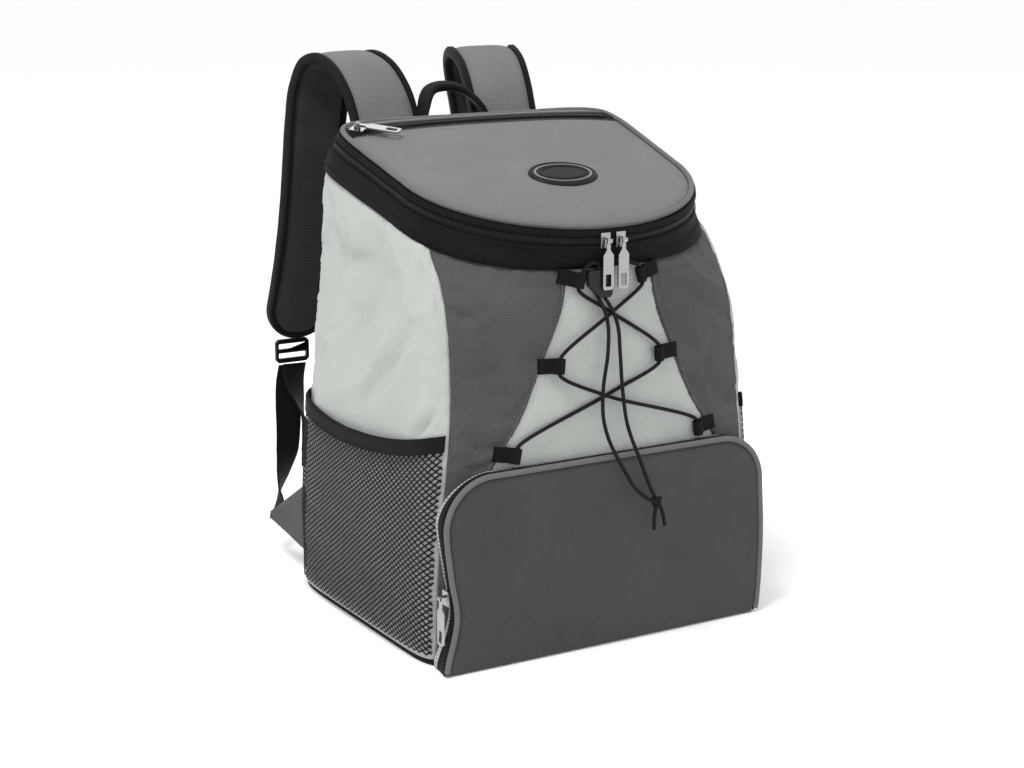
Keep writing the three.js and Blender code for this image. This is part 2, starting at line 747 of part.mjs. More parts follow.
function buildPocket() {
  const rows = 10;
  const columns = 12;
  const inset = 2 * pipingRadius + 3 * seamGap;
  const edge = pocketOutline(inset, pocketFoot);
  const outer = [];
  const inner = [];
  for (let i = 0; i <= rows; i += 1) {
    const z = mix(pocketFoot, pocketHeight - inset, 1 - (1 - i / rows) ** 1.6);
    const row = Array.from({ length: columns + 1 }, (_, j) => (
      mix(-halfAtHeight(edge.left, z), halfAtHeight(edge.right, z), j / columns)));
    outer.push(row.map((x) => vector(x, pocketY(x, z), z)));
    inner.push(row.map((x) => vector(x, pocketY(x, z) + pocketFaceThickness, z)));
  }
  add("pocket_face", slab(outer, inner), "dark");

  const pipingFrames = pocketFrames(pipingRadius, pocketFoot + pipingRadius);
  for (const { at } of pipingFrames) at.y = pocketY(at.x, at.z) + pipingRadius * 0.6;
  add("pocket_piping", sweep(pipingFrames, ring(pipingRadius, 6)), "lid");

  // Gusset and zip: strips round the pocket's edge; depth share 0 is behind the piping, 1 at the bag
  const frames = pocketFrames(pocketCloth / 2 + 0.4, pocketFoot);
  const place = (frame, depth, out) => {
    const { at, u } = frame;
    const front = pocketStripY(at.x, at.z);
    const narrow = mix(1, pocketRoot, depth);
    const rear = frontPoint(at.x * pocketRoot, Math.min(at.z, pocketHeight - pocketCloth), 0.9).y;
    return vector((at.x + u.x * out) * narrow, mix(front, rear, depth), at.z + u.z * out);
  };
  const strip = (from, to) => {
    const half = pocketCloth / 2;
    const grid = (out) => [from, to].map((depth) => frames.map((frame) => place(frame, depth, out)));
    return slab(grid(half), grid(-half));
  };
  const zipEnd = pocketZipWidth / (pocketDepth - 2 * pipingRadius);
  add("pocket_zip", strip(0, zipEnd), "black");
  add("pocket_gusset", strip(zipEnd + 0.03, 1), "light");
}

function buildMeshPockets() {
  const edge = (k) => along(meshEdge, "along", "up", k) * rearHeight;
  const foot = 0.012;
  const bindingRise = (k) => meshBindingHeight / (surface(1, 0.6).z - floorThickness) * (1 + 0 * k);
  const start = (up) => frontSeam(up) + 0.004;
  const end = (up) => rearSeam(up) - 0.004;
  for (const side of ["left", "right"]) {
    const sign = side === "right" ? 1 : -1;
    // k runs from the rear seam to the front one on the left side, and the other way on the right
    const fromRear = (k) => (side === "left" ? k : 1 - k);
    const shareOf = (k) => sign * mix(end(0.4), start(0.4), fromRear(k));
    const top = (k) => upAtHeight(shareOf(k), edge(fromRear(k)));
    const range = side === "right" ? { from: start, to: end } : { from: mirrored(end), to: mirrored(start) };
    const swell = (k) => Math.sin(Math.PI * k) ** 0.8;
    const bulge = (k, rise) => 2 + meshBulge * swell(k) * Math.sin(Math.PI * (0.12 + 0.6 * rise)) ** 1.2;
    const sheet = { low: () => foot, high: (k) => top(k), rows: 6, columns: 10, thickness: meshThickness };
    add(`mesh_pocket_${side}`, panel({ ...sheet, ...range, outset: bulge }), "mesh");
    const tape = {
      low: (k) => top(k) + 0.0015,
      high: (k) => top(k) + bindingRise(k),
      rows: 1,
      columns: 10,
      thickness: meshBindingThickness,
    };
    add(`mesh_binding_${side}`, panel({ ...tape, ...range, outset: (k) => bulge(k, 1) + 0.6 }), "black");
  }
}

// Routes behind the bag: table rows to points, on the left (-1) or right (1)
function routePoints(table, side) {
  return table.map(({ across, back, up }) => vector(
    (side * across * baseWidth) / 2,
    rearY + back * strapReach,
    up * (rearHeight + strapRise),
  ));
}

// Frames along a strap: u across its width, w out of its face
function strapFrames(table, side, steps) {
  const curve = new THREE.CatmullRomCurve3(routePoints(table, side), false, "centripetal");
  return Array.from({ length: steps + 1 }, (_, i) => {
    const t = i / steps;
    const at = curve.getPointAt(t);
    const tangent = curve.getTangentAt(t);
    const place = t * (table.length - 1);
    const k = Math.min(Math.floor(place), table.length - 2);
    const turn = THREE.MathUtils.degToRad(mix(table[k].turn, table[k + 1].turn, place - k)) * -side;
    const level = vector(Math.cos(turn), Math.sin(turn), 0);
    const u = level.addScaledVector(tangent, -level.dot(tangent)).normalize();
    return { at, u, w: u.clone().cross(tangent).normalize(), along: t * curve.getLength() };
  });
}

function buildStraps() {
  for (const [name, side] of [["left", -1], ["right", 1]]) {
    const frames = strapFrames(strapRoute, side, 27);
    const length = frames.at(-1).along;
    const half = strapWidth / 2 - strapBindingWidth;
    const roundStart = length - half - strapBindingWidth;
    const halfAt = (s, full) => {
      const over = Math.max(s - roundStart, 0) / (full === half ? half : half + strapBindingWidth);
      return full * Math.sqrt(Math.max(1 - Math.min(over, 1) ** 2, 0));
    };
    const across = 4;
    const padded = frames.filter(({ along: s }) => s < roundStart + half * 0.97);
    const grid = (level) => padded.map(({ at, u, w, along: s }) => (
      Array.from({ length: across + 1 }, (_, j) => {
        const a = -1 + (2 * j) / across;
        const crown = (strapThickness / 2) * (1 - 0.25 * Math.abs(a) ** 3);
        return at.clone().addScaledVector(u, a * halfAt(s, half)).addScaledVector(w, level * crown);
      })));
    add(`strap_pad_${name}`, slab(grid(1), grid(-1)), "lid");

    // Binding round the pad's edge: down one side, round the end and up the other
    const at = (s, a) => {
      const k = Math.min(Math.max(s / length, 0), 1) * (frames.length - 1);
      const i = Math.min(Math.floor(k), frames.length - 2);
      const f = k - i;
      const point = frames[i].at.clone().lerp(frames[i + 1].at, f);
      const u = frames[i].u.clone().lerp(frames[i + 1].u, f).normalize();
      const w = frames[i].w.clone().lerp(frames[i + 1].w, f).normalize();
      return { point: point.addScaledVector(u, a), w };
    };
    const edge = half + strapBindingWidth / 2 + 3 * seamGap;
    const route = [];
    const straight = 20;
    for (let i = 0; i < straight; i += 1) route.push([(roundStart * i) / straight, -edge]);
    for (let i = 0; i <= 8; i += 1) {
      const turn = (Math.PI * i) / 8;
      route.push([roundStart + edge * Math.sin(turn), -edge * Math.cos(turn)]);
    }
    for (let i = straight - 1; i >= 0; i -= 1) route.push([(roundStart * i) / straight, edge]);
    const places = route.map(([s, a]) => at(s, a));
    const bindingFrames = places.map(({ point, w }, i) => {
      const before = places[Math.max(i - 1, 0)].point;
      const after = places[Math.min(i + 1, places.length - 1)].point;
      const tangent = after.clone().sub(before).normalize();
      return { at: point, u: tangent.clone().cross(w).normalize(), w };
    });
    add(`strap_binding_${name}`, sweep(bindingFrames, rectangle(strapBindingWidth, strapBindingThickness)), "black");

    const webbing = rectangle(webbingWidth, webbingThickness);
    add(`strap_webbing_${name}`, sweep(strapFrames(webbingRoute, side, 22), webbing), "black");
    add(`strap_tail_${name}`, sweep(strapFrames(tailRoute, side, 14), webbing), "black");
    add(`strap_buckle_${name}`, buckle(), "plastic", buckleMatrix(side));
    buildTab(name, side);
  }
}

// Ladder-lock buckle: a frame with two slots, flat in X and Z about its own middle
const buckleWidth = 33;
const buckleHeight = 22;
const buckleThickness = 4;
function buckle() {
  const shape = new THREE.Shape();
  const w = buckleWidth / 2;
  const h = buckleHeight / 2;
  shape.moveTo(-w, -h + 3).lineTo(-w + 3, -h).lineTo(w - 3, -h).lineTo(w, -h + 3);
  shape.lineTo(w, h - 3).lineTo(w - 3, h).lineTo(-w + 3, h).lineTo(-w, h - 3).closePath();
  for (const z of [4.3, -4.3]) {
    const slot = new THREE.Path();
    slot.moveTo(-w + 3, z - 2.4).lineTo(w - 3, z - 2.4).lineTo(w - 3, z + 2.4).lineTo(-w + 3, z + 2.4).closePath();
    shape.holes.push(slot);
  }
  const geometry = new THREE.ExtrudeGeometry(shape, { depth: buckleThickness, bevelEnabled: false });
  geometry.translate(0, 0, -buckleThickness / 2);
  geometry.rotateX(Math.PI / 2);
  return geometry;
}

function buckleMatrix(side) {
  const end = routePoints(strapRoute, side).at(-1);
  return new THREE.Matrix4().setPosition(end.x + side * 3, end.y, end.z - buckleHeight / 2 - 5 * seamGap);
}

// Folded corner tab that holds the webbing: a flat triangle behind the rear corner
function buildTab(name, side) {
  const innerX = 0.895 * baseWidth / 2;
  const corner = (z) => {
    const up = upAtHeight(1, z);
    const { a, b } = shareWhere(up, (p) => p.y > rearY - 0.1 * baseDepth && p.x <= innerX);
    const y = mix(a.y, b.y, (innerX - a.x) / (b.x - a.x));
    return vector(side * (innerX + tabThickness / 2), y + tabGap, z);
  };
  const foot = corner(0.052 * rearHeight);
  const top = corner(0.225 * rearHeight);
  const tip = routePoints(webbingRoute, side).at(-1);
  tip.x += side * (tabThickness / 2 + webbingThickness / 2 + 4 * seamGap);
  tip.y += 6;
  tip.z -= 8;
  const out = vector(side, 0, 0).multiplyScalar(tabThickness / 2);
  const corners = [foot, tip, tip.clone().add(vector(0, -3, 6)), top];
  const outer = [[foot, tip], [top, corners[2]]].map((row) => row.map((p) => p.clone().add(out)));
  const inner = [[foot, tip], [top, corners[2]]].map((row) => row.map((p) => p.clone().sub(out)));
  add(`strap_tab_${name}`, slab(outer, inner), "dark");
}

function buildHandle() {
  const half = handleSpan / 2;
  const foot = surface(0.985, 1);
  const arch = [[1, -1.2, 0], [1.0, 6.8, 13.5], [0.86, 13.5, 35], [0.4, 27, 51]];
  const leftHalf = arch.map(([across, back, rise]) => vector(-half * across, foot.y + back, foot.z + rise));
  const rightHalf = arch.toReversed().map(([across, back, rise]) => (
    vector(half * across, foot.y + back, foot.z + rise)));
  const curve = new THREE.CatmullRomCurve3([...leftHalf, ...rightHalf], false, "centripetal");
  const level = vector(0, 0.97, 0.24);
  const steps = 24;
  const frames = Array.from({ length: steps + 1 }, (_, i) => {
    const tangent = curve.getTangentAt(i / steps);
    const u = level.clone().addScaledVector(tangent, -level.dot(tangent)).normalize();
    return { at: curve.getPointAt(i / steps), u, w: u.clone().cross(tangent).normalize() };
  });
  for (const { at } of frames) at.y += handleWidth / 2;
  add("grab_handle", sweep(frames, rectangle(handleWidth, handleThickness)), "black");
}

// Webbing loop for the cord: its foot lies on the cloth and its eye stands at the inner end
function loopGeometry() {
  const eye = loopBore / 2 + loopCloth * 0.8;
  const shape = new THREE.Shape();
  shape.moveTo(0, 0).lineTo(loopLength - eye, 0);
  shape.absarc(loopLength - eye, eye, eye, -Math.PI / 2, Math.PI / 2 + 0.5, false);
  shape.lineTo(loopLength - eye * 2.6, loopCloth).lineTo(0, loopCloth).closePath();
  const bore = new THREE.Path();
  bore.absarc(loopLength - eye, eye, loopBore / 2, 0, 2 * Math.PI, false);
  shape.holes.push(bore);
  const settings = { depth: loopWidth, bevelEnabled: false, curveSegments: 5 };
  return new THREE.ExtrudeGeometry(shape, settings).translate(0, 0, -loopWidth / 2);
}

// Place of one loop: foot, direction of its length, direction off the cloth, bore's middle and direction
function loopPlace(level, side) {
  const { out, up, slope } = cordLoops.find((loop) => loop.level === level);
  const angle = THREE.MathUtils.degToRad(slope);
  const standOff = 0.9;
  const foot = frontPoint((side * out * baseWidth) / 2, up * frontHeight, standOff);
  const tip = frontPoint(foot.x - side * loopLength * Math.cos(angle), foot.z - loopLength * Math.sin(angle), standOff);
  const length = tip.clone().sub(foot).normalize();
  const above = vector(0, -1, 0).addScaledVector(length, length.y).normalize();
  const axis = length.clone().cross(above).normalize();
  const eye = loopBore / 2 + loopCloth * 0.8;
  const bore = foot.clone().addScaledVector(length, loopLength - eye).addScaledVector(above, eye);
  return { foot, length, above, axis, bore };
}

function buildLoops() {
  for (const { level } of cordLoops) {
    for (const [name, side] of [["left", -1], ["right", 1]]) {
      const { foot, length, above, axis } = loopPlace(level, side);
      const matrix = new THREE.Matrix4().makeBasis(length, above, axis).setPosition(foot);
      add(`cord_loop_${level}_${name}`, loopGeometry(), "black", matrix);
    }
  }
}

function cordTube(points, steps) {
  const curve = new THREE.CatmullRomCurve3(points, false, "centripetal");
  const shape = new THREE.Shape(ring(cordDiameter / 2, 8).map(([a, b]) => new THREE.Vector2(a, b)));
  return new THREE.ExtrudeGeometry(shape, { steps, extrudePath: curve, bevelEnabled: false });
}

// The cord through one loop, from below it to above it; shortened keeps its end inside the bore
function throughLoop(level, side, shortened = -1) {
  const { axis, bore } = loopPlace(level, side);
  const sign = Math.sign(axis.z);
  const reach = loopWidth / 2;
  return [-reach + shortened, -reach / 3, reach / 3, reach + 1].map((a) => bore.clone().addScaledVector(axis, a * sign));
}

function buildCord() {
  // Lock: a flat block with two upright bores, its lower corner cut back beside the cord
  const [leftBore, rightBore] = [tailLeft[0][0], tailRight[0][0]];
  const lockAt = frontPoint(leftBore + 0.5, 295, lockThickness / 2 + 0.9);
  const shape = new THREE.Shape();
  lockOutline.forEach(([across, rise], i) => {
    const place = [(across * lockLength) / 2, (rise * lockHeight) / 2];
    if (i === 0) shape.moveTo(...place);
    else shape.lineTo(...place);
  });
  shape.closePath();
  const plate = new THREE.ExtrudeGeometry(shape, { depth: lockThickness, bevelEnabled: false });
  plate.rotateX(Math.PI / 2).translate(0, lockThickness / 2, 0);
  const boreRadius = cordDiameter / 2 + 2 * seamGap;
  const lock = [leftBore, rightBore].reduce((block, x) => {
    const bore = new THREE.CylinderGeometry(boreRadius, boreRadius, 2 * lockHeight, 12).rotateX(Math.PI / 2);
    return block.subtract(toManifold(bore.translate(x - lockAt.x, 0, 0)));
  }, toManifold(plate));
  add("cord_lock", fromManifold(lock), "plastic", new THREE.Matrix4().setPosition(lockAt));

  // Lacing: each half runs from the seam over the pocket through three loops into the lock
  const half = lockHeight / 2;
  for (const [name, side, run] of [["left", -1, 2], ["right", 1, 3]]) {
    const [lowX, lowZ] = crossings.low;
    const [highX, highZ] = crossings.high;
    const boreX = side < 0 ? leftBore : rightBore;
    const last = [4, 1, -half + 0.15].map((rise) => vector(boreX, lockAt.y, lockAt.z + half + rise));
    const over = frontPoint(boreX + side * (side < 0 ? 6 : 13), lockAt.z + half + 5.5, 4.2);
    const points = [
      ...throughLoop("low", side, 0.5),
      frontPoint(lowX, lowZ, crossings.low[run]),
      ...throughLoop("mid", -side),
      frontPoint(highX, highZ, crossings.high[run]),
      ...throughLoop("top", side),
      over,
      ...last,
    ];
    add(`cord_lacing_${name}`, cordTube(points, 60), "black");
  }
  const tails = [["left", leftBore, tailLeft], ["right", rightBore, tailRight]];
  for (const [name, boreX, route] of tails) {
    const first = [0.15, half].map((drop) => vector(boreX, lockAt.y, lockAt.z - drop));
    add(`cord_tail_${name}`, cordTube([...first, ...route.map((p) => vector(...p))], 30), "black");
  }

  // Knot with the two short cut ends below it
  const knot = vector(...knotPoint);
  const ends = [[[0, 0, 0], [-2, -0.5, -10], [-2.5, -0.5, -23]], [[1, 0, 0], [5, -0.5, -9], [8, -0.5, -21]]];
  const pieces = ends.map((points) => cordTube(points.map((p) => vector(...p).add(knot)), 6));
  pieces.push(new THREE.IcosahedronGeometry(5.2, 1).scale(1, 0.75, 1).translate(knot.x, knot.y, knot.z));
  add("cord_knot", join(pieces), "black");
}

// Zip slider, flat on Z = 0, its pull hanging towards -Y from a bail that runs along X
function sliderGeometry() {
  const body = new THREE.BoxGeometry(sliderWidth, sliderLength, sliderThickness).translate(0, 0, sliderThickness / 2);
  const postWidth = 1.3;
  const postX = bailSpan / 2 + postWidth / 2;
  const posts = [-1, 1].map((side) => (
    new THREE.BoxGeometry(postWidth, 3, bailHeight + bailRadius - sliderThickness / 2)
      .translate(side * postX, 0, (bailHeight + bailRadius + sliderThickness / 2) / 2)));
  const bar = new THREE.CylinderGeometry(bailRadius, bailRadius, bailSpan + 2 * postWidth, 12)
    .rotateZ(Math.PI / 2).translate(0, 0, bailHeight);
  return join([body, ...posts, bar]);
}

// Pull: an eye round the bail, a narrow neck and a plate with a window
function pullGeometry() {
  const inner = bailRadius + eyeClearance;
  const outer = inner + eyeWall;
  const eyeWidth = bailSpan - 2 * eyeClearance;
  const eyeShape = new THREE.Shape().absarc(0, 0, outer, 0, 2 * Math.PI, false);
  eyeShape.holes.push(new THREE.Path().absarc(0, 0, inner, 0, 2 * Math.PI, false));
  const eye = new THREE.ExtrudeGeometry(eyeShape, { depth: eyeWidth, bevelEnabled: false, curveSegments: 8 })
    .translate(0, 0, -eyeWidth / 2).rotateY(Math.PI / 2);
  const neck = eyeWidth / 2;
  const half = pullWidth / 2;
  const shoulder = -pullLength * 0.24;
  const plate = new THREE.Shape();
  plate.moveTo(-neck, -inner - eyeWall / 2).lineTo(-neck, shoulder + 2).lineTo(-half, shoulder - 2);
  plate.lineTo(-half, -pullLength + 1.5).lineTo(-half + 1.5, -pullLength).lineTo(half - 1.5, -pullLength);
  plate.lineTo(half, -pullLength + 1.5).lineTo(half, shoulder - 2).lineTo(neck, shoulder + 2);
  plate.lineTo(neck, -inner - eyeWall / 2).closePath();
  const window = new THREE.Path();
  const low = -pullLength + 2.6;
  const high = -pullLength * 0.68;
  const edge = half - 2.2;
  window.moveTo(-edge, low).lineTo(edge, low).lineTo(edge, high).lineTo(-edge, high).closePath();
  plate.holes.push(window);
  const blade = new THREE.ExtrudeGeometry(plate, { depth: pullThickness, bevelEnabled: false })
    .translate(0, 0, -pullThickness / 2);
  return join([eye, blade]).translate(0, 0, bailHeight);
}

function addZipPull(name, at, out, down) {
  const z = out.clone().normalize();
  const y = down.clone().negate();
  y.addScaledVector(z, -y.dot(z)).normalize();
  const matrix = new THREE.Matrix4().makeBasis(y.clone().cross(z), y, z).setPosition(at);
  add(`${name}_slider`, sliderGeometry(), "steel", matrix);
  add(`${name}_pull`, pullGeometry(), "steel", matrix);
}

function buildZipPulls() {
  const zipMiddle = (bandRows.lowerTop + bandRows.zipTop) / 2;
  const standOff = 1.0;
  for (const [name, x] of [["lid_zip_left", -8], ["lid_zip_right", 6]]) {
    const at = surface(zipMiddle, shareAtX(zipMiddle, x)).add(vector(0, -standOff, 0));
    addZipPull(name, at, vector(0, -1, 0), vector(0, 0, -1));
  }
  const lidX = lidLean - 0.9 * lidHalfWidth(zipY);
  const lidY = zipY - lidZipWidth / 2;
  const slope = (lidTop(lidX, lidY + 10) - lidTop(lidX, lidY - 30)) / 40;
  const up = vector(-0.12, -slope, 1);
  const lidAt = vector(lidX, lidY, lidTop(lidX, lidY) + standOff);
  addZipPull("lid_pocket", lidAt, up, vector(0.62, -0.78, 0));

  const pocketZ = 0.155 * rearHeight;
  const edge = pocketHalf("left", pocketZ);
  const pocketAt = vector(-edge - seamGap, pocketStripY(-edge, pocketZ) + pocketZipWidth / 2, pocketZ);
  addZipPull("pocket", pocketAt, vector(-1, 0, 0), vector(0, 0, -1));
}

buildFloor();
buildWalls();
buildLidBand();
buildLid();
buildPocket();
buildMeshPockets();
buildStraps();
buildHandle();
buildLoops();
buildCord();
buildZipPulls();

export default bag;
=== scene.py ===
import math
import bpy
import bmesh
import numpy as np
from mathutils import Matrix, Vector
from mathutils.bvhtree import BVHTree


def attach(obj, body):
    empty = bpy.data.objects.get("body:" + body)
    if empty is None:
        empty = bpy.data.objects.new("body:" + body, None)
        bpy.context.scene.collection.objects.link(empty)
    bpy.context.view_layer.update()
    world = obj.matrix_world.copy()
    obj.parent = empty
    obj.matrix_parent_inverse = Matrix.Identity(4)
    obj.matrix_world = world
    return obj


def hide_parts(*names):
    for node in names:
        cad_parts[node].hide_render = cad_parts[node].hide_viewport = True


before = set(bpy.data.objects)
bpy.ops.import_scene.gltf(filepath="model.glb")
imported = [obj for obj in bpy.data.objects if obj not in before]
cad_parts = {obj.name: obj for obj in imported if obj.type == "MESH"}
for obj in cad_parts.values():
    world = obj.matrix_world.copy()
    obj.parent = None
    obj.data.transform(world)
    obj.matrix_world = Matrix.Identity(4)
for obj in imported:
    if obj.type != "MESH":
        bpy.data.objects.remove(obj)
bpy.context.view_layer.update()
scene = bpy.context.scene
mm = 0.001
print("frame loaded")

# Camera at the photograph's place: 31 degrees round to the left and 13.5 above the floor
camera = {"place": (-0.848, -1.4185, 0.583), "pitch": 76.5, "turn": -30.6, "lens": 70.89}
cameraData = bpy.data.cameras.new("camera")
cameraData.lens = camera["lens"]
cameraData.sensor_width = 36
cameraData.sensor_fit = "HORIZONTAL"
cameraObject = bpy.data.objects.new("camera", cameraData)
cameraObject.location = camera["place"]
cameraObject.rotation_euler = (math.radians(camera["pitch"]), 0, math.radians(camera["turn"]))
scene.collection.objects.link(cameraObject)
scene.camera = cameraObject

# Sizes of the bag in millimetres, as in the CAD part
bag = {
    "baseWidth": 304, "baseDepth": 262, "rearHeight": 403, "frontHeight": 337, "backLean": 48, "frontSwell": 9,
    "lidLean": 4, "floorThickness": 5, "bandHeight": 26, "pocketDepth": 18, "rearRound": 9, "lidDome": 10,
}
rearY = (bag["baseDepth"] + bag["pocketDepth"]) / 2
frontY = rearY - bag["baseDepth"]

# Columns: up, side, flare, round, run, back, front
sections = np.array([
    (0.0, 1.0, 0.0, 10.0, 0.433, 0.0, 0.1),
    (0.25, 1.003, 0.0, 10.0, 0.433, 0.16, 0.75),
    (0.5, 0.975, 0.02, 8.5, 0.433, 0.4, 1.0),
    (0.75, 0.93, 0.05, 7.0, 0.433, 0.68, 1.0),
    (0.88, 0.902, 0.065, 5.2, 0.433, 0.81, 1.0),
    (0.96, 0.89, 0.075, 3.2, 0.425, 0.88, 0.97),
    (1.0, 0.883, 0.08, 2.3, 0.42, 0.92, 0.95),
    (1.5, 0.866, 0.07, 2.08, 0.407, 0.97, 1.1),
    (2.0, 0.855, 0.05, 2.0, 0.394, 1.0, 1.17),
])
sideSeam = np.array([(0.0, 0.039), (0.6, 0.0433), (0.8, 0.074), (0.92, 0.139), (1.0, 0.251)])
wingSeam = np.array([(0.0, 0.76), (0.42, 0.75), (0.495, 0.688), (0.62, 0.52), (0.762, 0.388), (0.88, 0.285), (1.0, 0.243)])
meshEdge = np.array([(0.0, 0.403), (0.28, 0.383), (0.55, 0.387), (0.8, 0.407), (1.0, 0.436)])
pocketSides = np.array([
    (0.0, 1.0, 0.97), (0.04, 1.0, 0.99), (0.29, 0.945, 1.005), (0.5, 0.975, 1.005), (0.72, 1.0, 0.99), (1.0, 1.0, 0.98),
])


# Smooth curve through one column of a table: each row's slope is taken between its neighbours
def along(table, column, at):
    keys, values = table[:, 0], table[:, column]
    rows = len(keys)
    before, after = np.maximum(np.arange(rows) - 1, 0), np.minimum(np.arange(rows) + 1, rows - 1)
    slopes = (values[after] - values[before]) / (keys[after] - keys[before])
    at = np.asarray(at, float)
    k = np.clip(np.searchsorted(keys, at, side="left") - 1, 0, rows - 2)
    span = keys[k + 1] - keys[k]
    t = np.clip((at - keys[k]) / span, 0, 1)
    return ((2 * t**3 - 3 * t**2 + 1) * values[k] + (t**3 - 2 * t**2 + t) * span * slopes[k]
            + (3 * t**2 - 2 * t**3) * values[k + 1] + (t**3 - t**2) * span * slopes[k + 1])


def mix(a, b, t):
    return a + (b - a) * t


def smooth(low, high, value):  # 0 below low, 1 above high, and an s between them
    t = np.clip((np.asarray(value, float) - low) / (high - low), 0, 1)
    return t * t * (3 - 2 * t)


def bump(value, middle, width):  # a round hill of height 1
    return np.exp(-((np.asarray(value, float) - middle) / width) ** 2)


lidFrontY = frontY - sections[-1, 6] * bag["frontSwell"]
lidRearY = rearY - bag["backLean"]


def lidPlane(y):
    return mix(bag["frontHeight"], bag["rearHeight"], (y - lidFrontY) / (lidRearY - lidFrontY))


def heightAt(up, y):
    rim = lidPlane(y) - bag["bandHeight"]
    return np.where(up > 1, rim + bag["bandHeight"] * (up - 1), mix(bag["floorThickness"] + 0.3, rim, up))


# Half outlines of the bag for many heights, each a superellipse of its front run and its rear run,
# measured off by length: share 0 is the front middle and 1 the rear middle
upSteps, shareSteps = 401, 481
upTable = np.linspace(0, 2, upSteps)


def outlineTables():
    turns = np.linspace(0, math.pi, 1441)
    shares = np.linspace(0, 1, shareSteps)
    xs, ys, totals = [], [], []
    for up in upTable:
        side, flare, roundness, run, back, front = (float(along(sections, c, up)) for c in range(1, 7))
        backY = rearY - back * bag["backLean"]
        front = frontY - front * bag["frontSwell"]
        start = front + run * bag["baseDepth"]
        half = side * bag["baseWidth"] / 2
        power = np.where(turns < math.pi / 2, 2 / roundness, 2 / bag["rearRound"])
        reach = np.abs(np.cos(turns)) ** power
        y = np.where(np.cos(turns) > 0, start - (start - front) * reach, start + (backY - start) * reach)
        wide = half + flare * bag["baseWidth"] / 2 * np.maximum(0, (y - start) / (backY - start))
        x = wide * np.clip(np.sin(turns), 0, 1) ** power
        length = np.concatenate([[0], np.cumsum(np.hypot(np.diff(x), np.diff(y)))])
        xs.append(np.interp(shares * length[-1], length, x))
        ys.append(np.interp(shares * length[-1], length, y))
        totals.append(length[-1])
    return np.array(xs), np.array(ys), np.array(totals)


outlineX, outlineY, outlineTotal = outlineTables()
outlineDx, outlineDy = np.gradient(outlineX, axis=1), np.gradient(outlineY, axis=1)


# Value of a table at height shares and outline shares, by linear steps between its entries
def fromTable(table, up, share):
    u = np.clip(np.asarray(up, float), 0, 2) / 2 * (upSteps - 1)
    s = np.clip(np.abs(share), 0, 1) * (shareSteps - 1)
    i, j = np.minimum(u.astype(int), upSteps - 2), np.minimum(s.astype(int), shareSteps - 2)
    a, b = u - i, s - j
    return ((1 - a) * (1 - b) * table[i, j] + (1 - a) * b * table[i, j + 1]
            + a * (1 - b) * table[i + 1, j] + a * b * table[i + 1, j + 1])


# Points of the bag's outside: x and y from the outline, z from the height share, moved out along the level normal
def onBag(up, share, out=0.0):
    up, share = np.broadcast_arrays(np.asarray(up, float), np.asarray(share, float))
    side = np.where(share < 0, -1.0, 1.0)
    x = side * fromTable(outlineX, up, share) + bag["lidLean"] * (up / 2) ** 2
    y = fromTable(outlineY, up, share)
    dx, dy = fromTable(outlineDx, up, share), fromTable(outlineDy, up, share)
    length = np.maximum(np.hypot(dx, dy), 1e-9)
    normal = np.stack([side * dy / length, -dx / length, np.zeros_like(x)], -1)
    return np.stack([x, y, heightAt(up, y)], -1) + normal * np.asarray(out)[..., None]


def shareWhere(up, rows, limit):  # share at which each outline first reaches the limit
    up = np.atleast_1d(np.asarray(up, float))
    shares = np.linspace(0, 1, shareSteps)
    result = np.empty(up.shape)
    for index, value in np.ndenumerate(up):
        line = rows(value)
        k = max(int(np.argmax(line >= limit[index])), 1)
        t = (limit[index] - line[k - 1]) / (line[k] - line[k - 1])
        result[index] = mix(shares[k - 1], shares[k], t)
    return result


def rowX(up):
    return fromTable(outlineX, np.full(shareSteps, up), np.linspace(0, 1, shareSteps))


def rowY(up):
    return fromTable(outlineY, np.full(shareSteps, up), np.linspace(0, 1, shareSteps))


def frontSeam(up):
    return shareWhere(up, rowY, np.array([rowY(u)[0] for u in up]) + along(sideSeam, 1, up) * bag["baseDepth"])


def rearSeam(up):
    return shareWhere(up, rowY, np.array([rowY(u)[-1] for u in up]) - 0.03 * bag["baseDepth"])


def centreSeam(up):
    return shareWhere(up, rowX, along(wingSeam, 1, up) * bag["baseWidth"] / 2)


# Front surface of the bag at places across and heights
frontRows = np.linspace(0, 1, 161)
frontAcross = np.linspace(-150, 150, 241)


def frontTable():
    z = np.linspace(6, 334, 165)
    table = np.empty((len(z), len(frontAcross)))
    samples = np.linspace(-0.62, 0.62, 400)
    grid = onBag(np.linspace(0, 2, 260)[:, None] ** 1.0, samples[None, :])
    for j, x in enumerate(frontAcross):
        ys, zs = np.empty(len(grid)), np.empty(len(grid))
        for i, row in enumerate(grid):
            ys[i], zs[i] = np.interp(x, row[:, 0], row[:, 1]), np.interp(x, row[:, 0], row[:, 2])
        table[:, j] = np.interp(z, zs, ys)
    return z, table


frontZ, frontDepth = frontTable()


def frontAt(x, z, out=0.0):
    x, z = np.broadcast_arrays(np.asarray(x, float), np.asarray(z, float))
    a = np.clip((x - frontAcross[0]) / (frontAcross[1] - frontAcross[0]), 0, len(frontAcross) - 1.001)
    b = np.clip((z - frontZ[0]) / (frontZ[1] - frontZ[0]), 0, len(frontZ) - 1.001)
    i, j = b.astype(int), a.astype(int)
    s, t = b - i, a - j
    y = ((1 - s) * (1 - t) * frontDepth[i, j] + (1 - s) * t * frontDepth[i, j + 1]
         + s * (1 - t) * frontDepth[i + 1, j] + s * t * frontDepth[i + 1, j + 1])
    return np.stack([x, y - out, z], -1)


print("bag surface worked out")


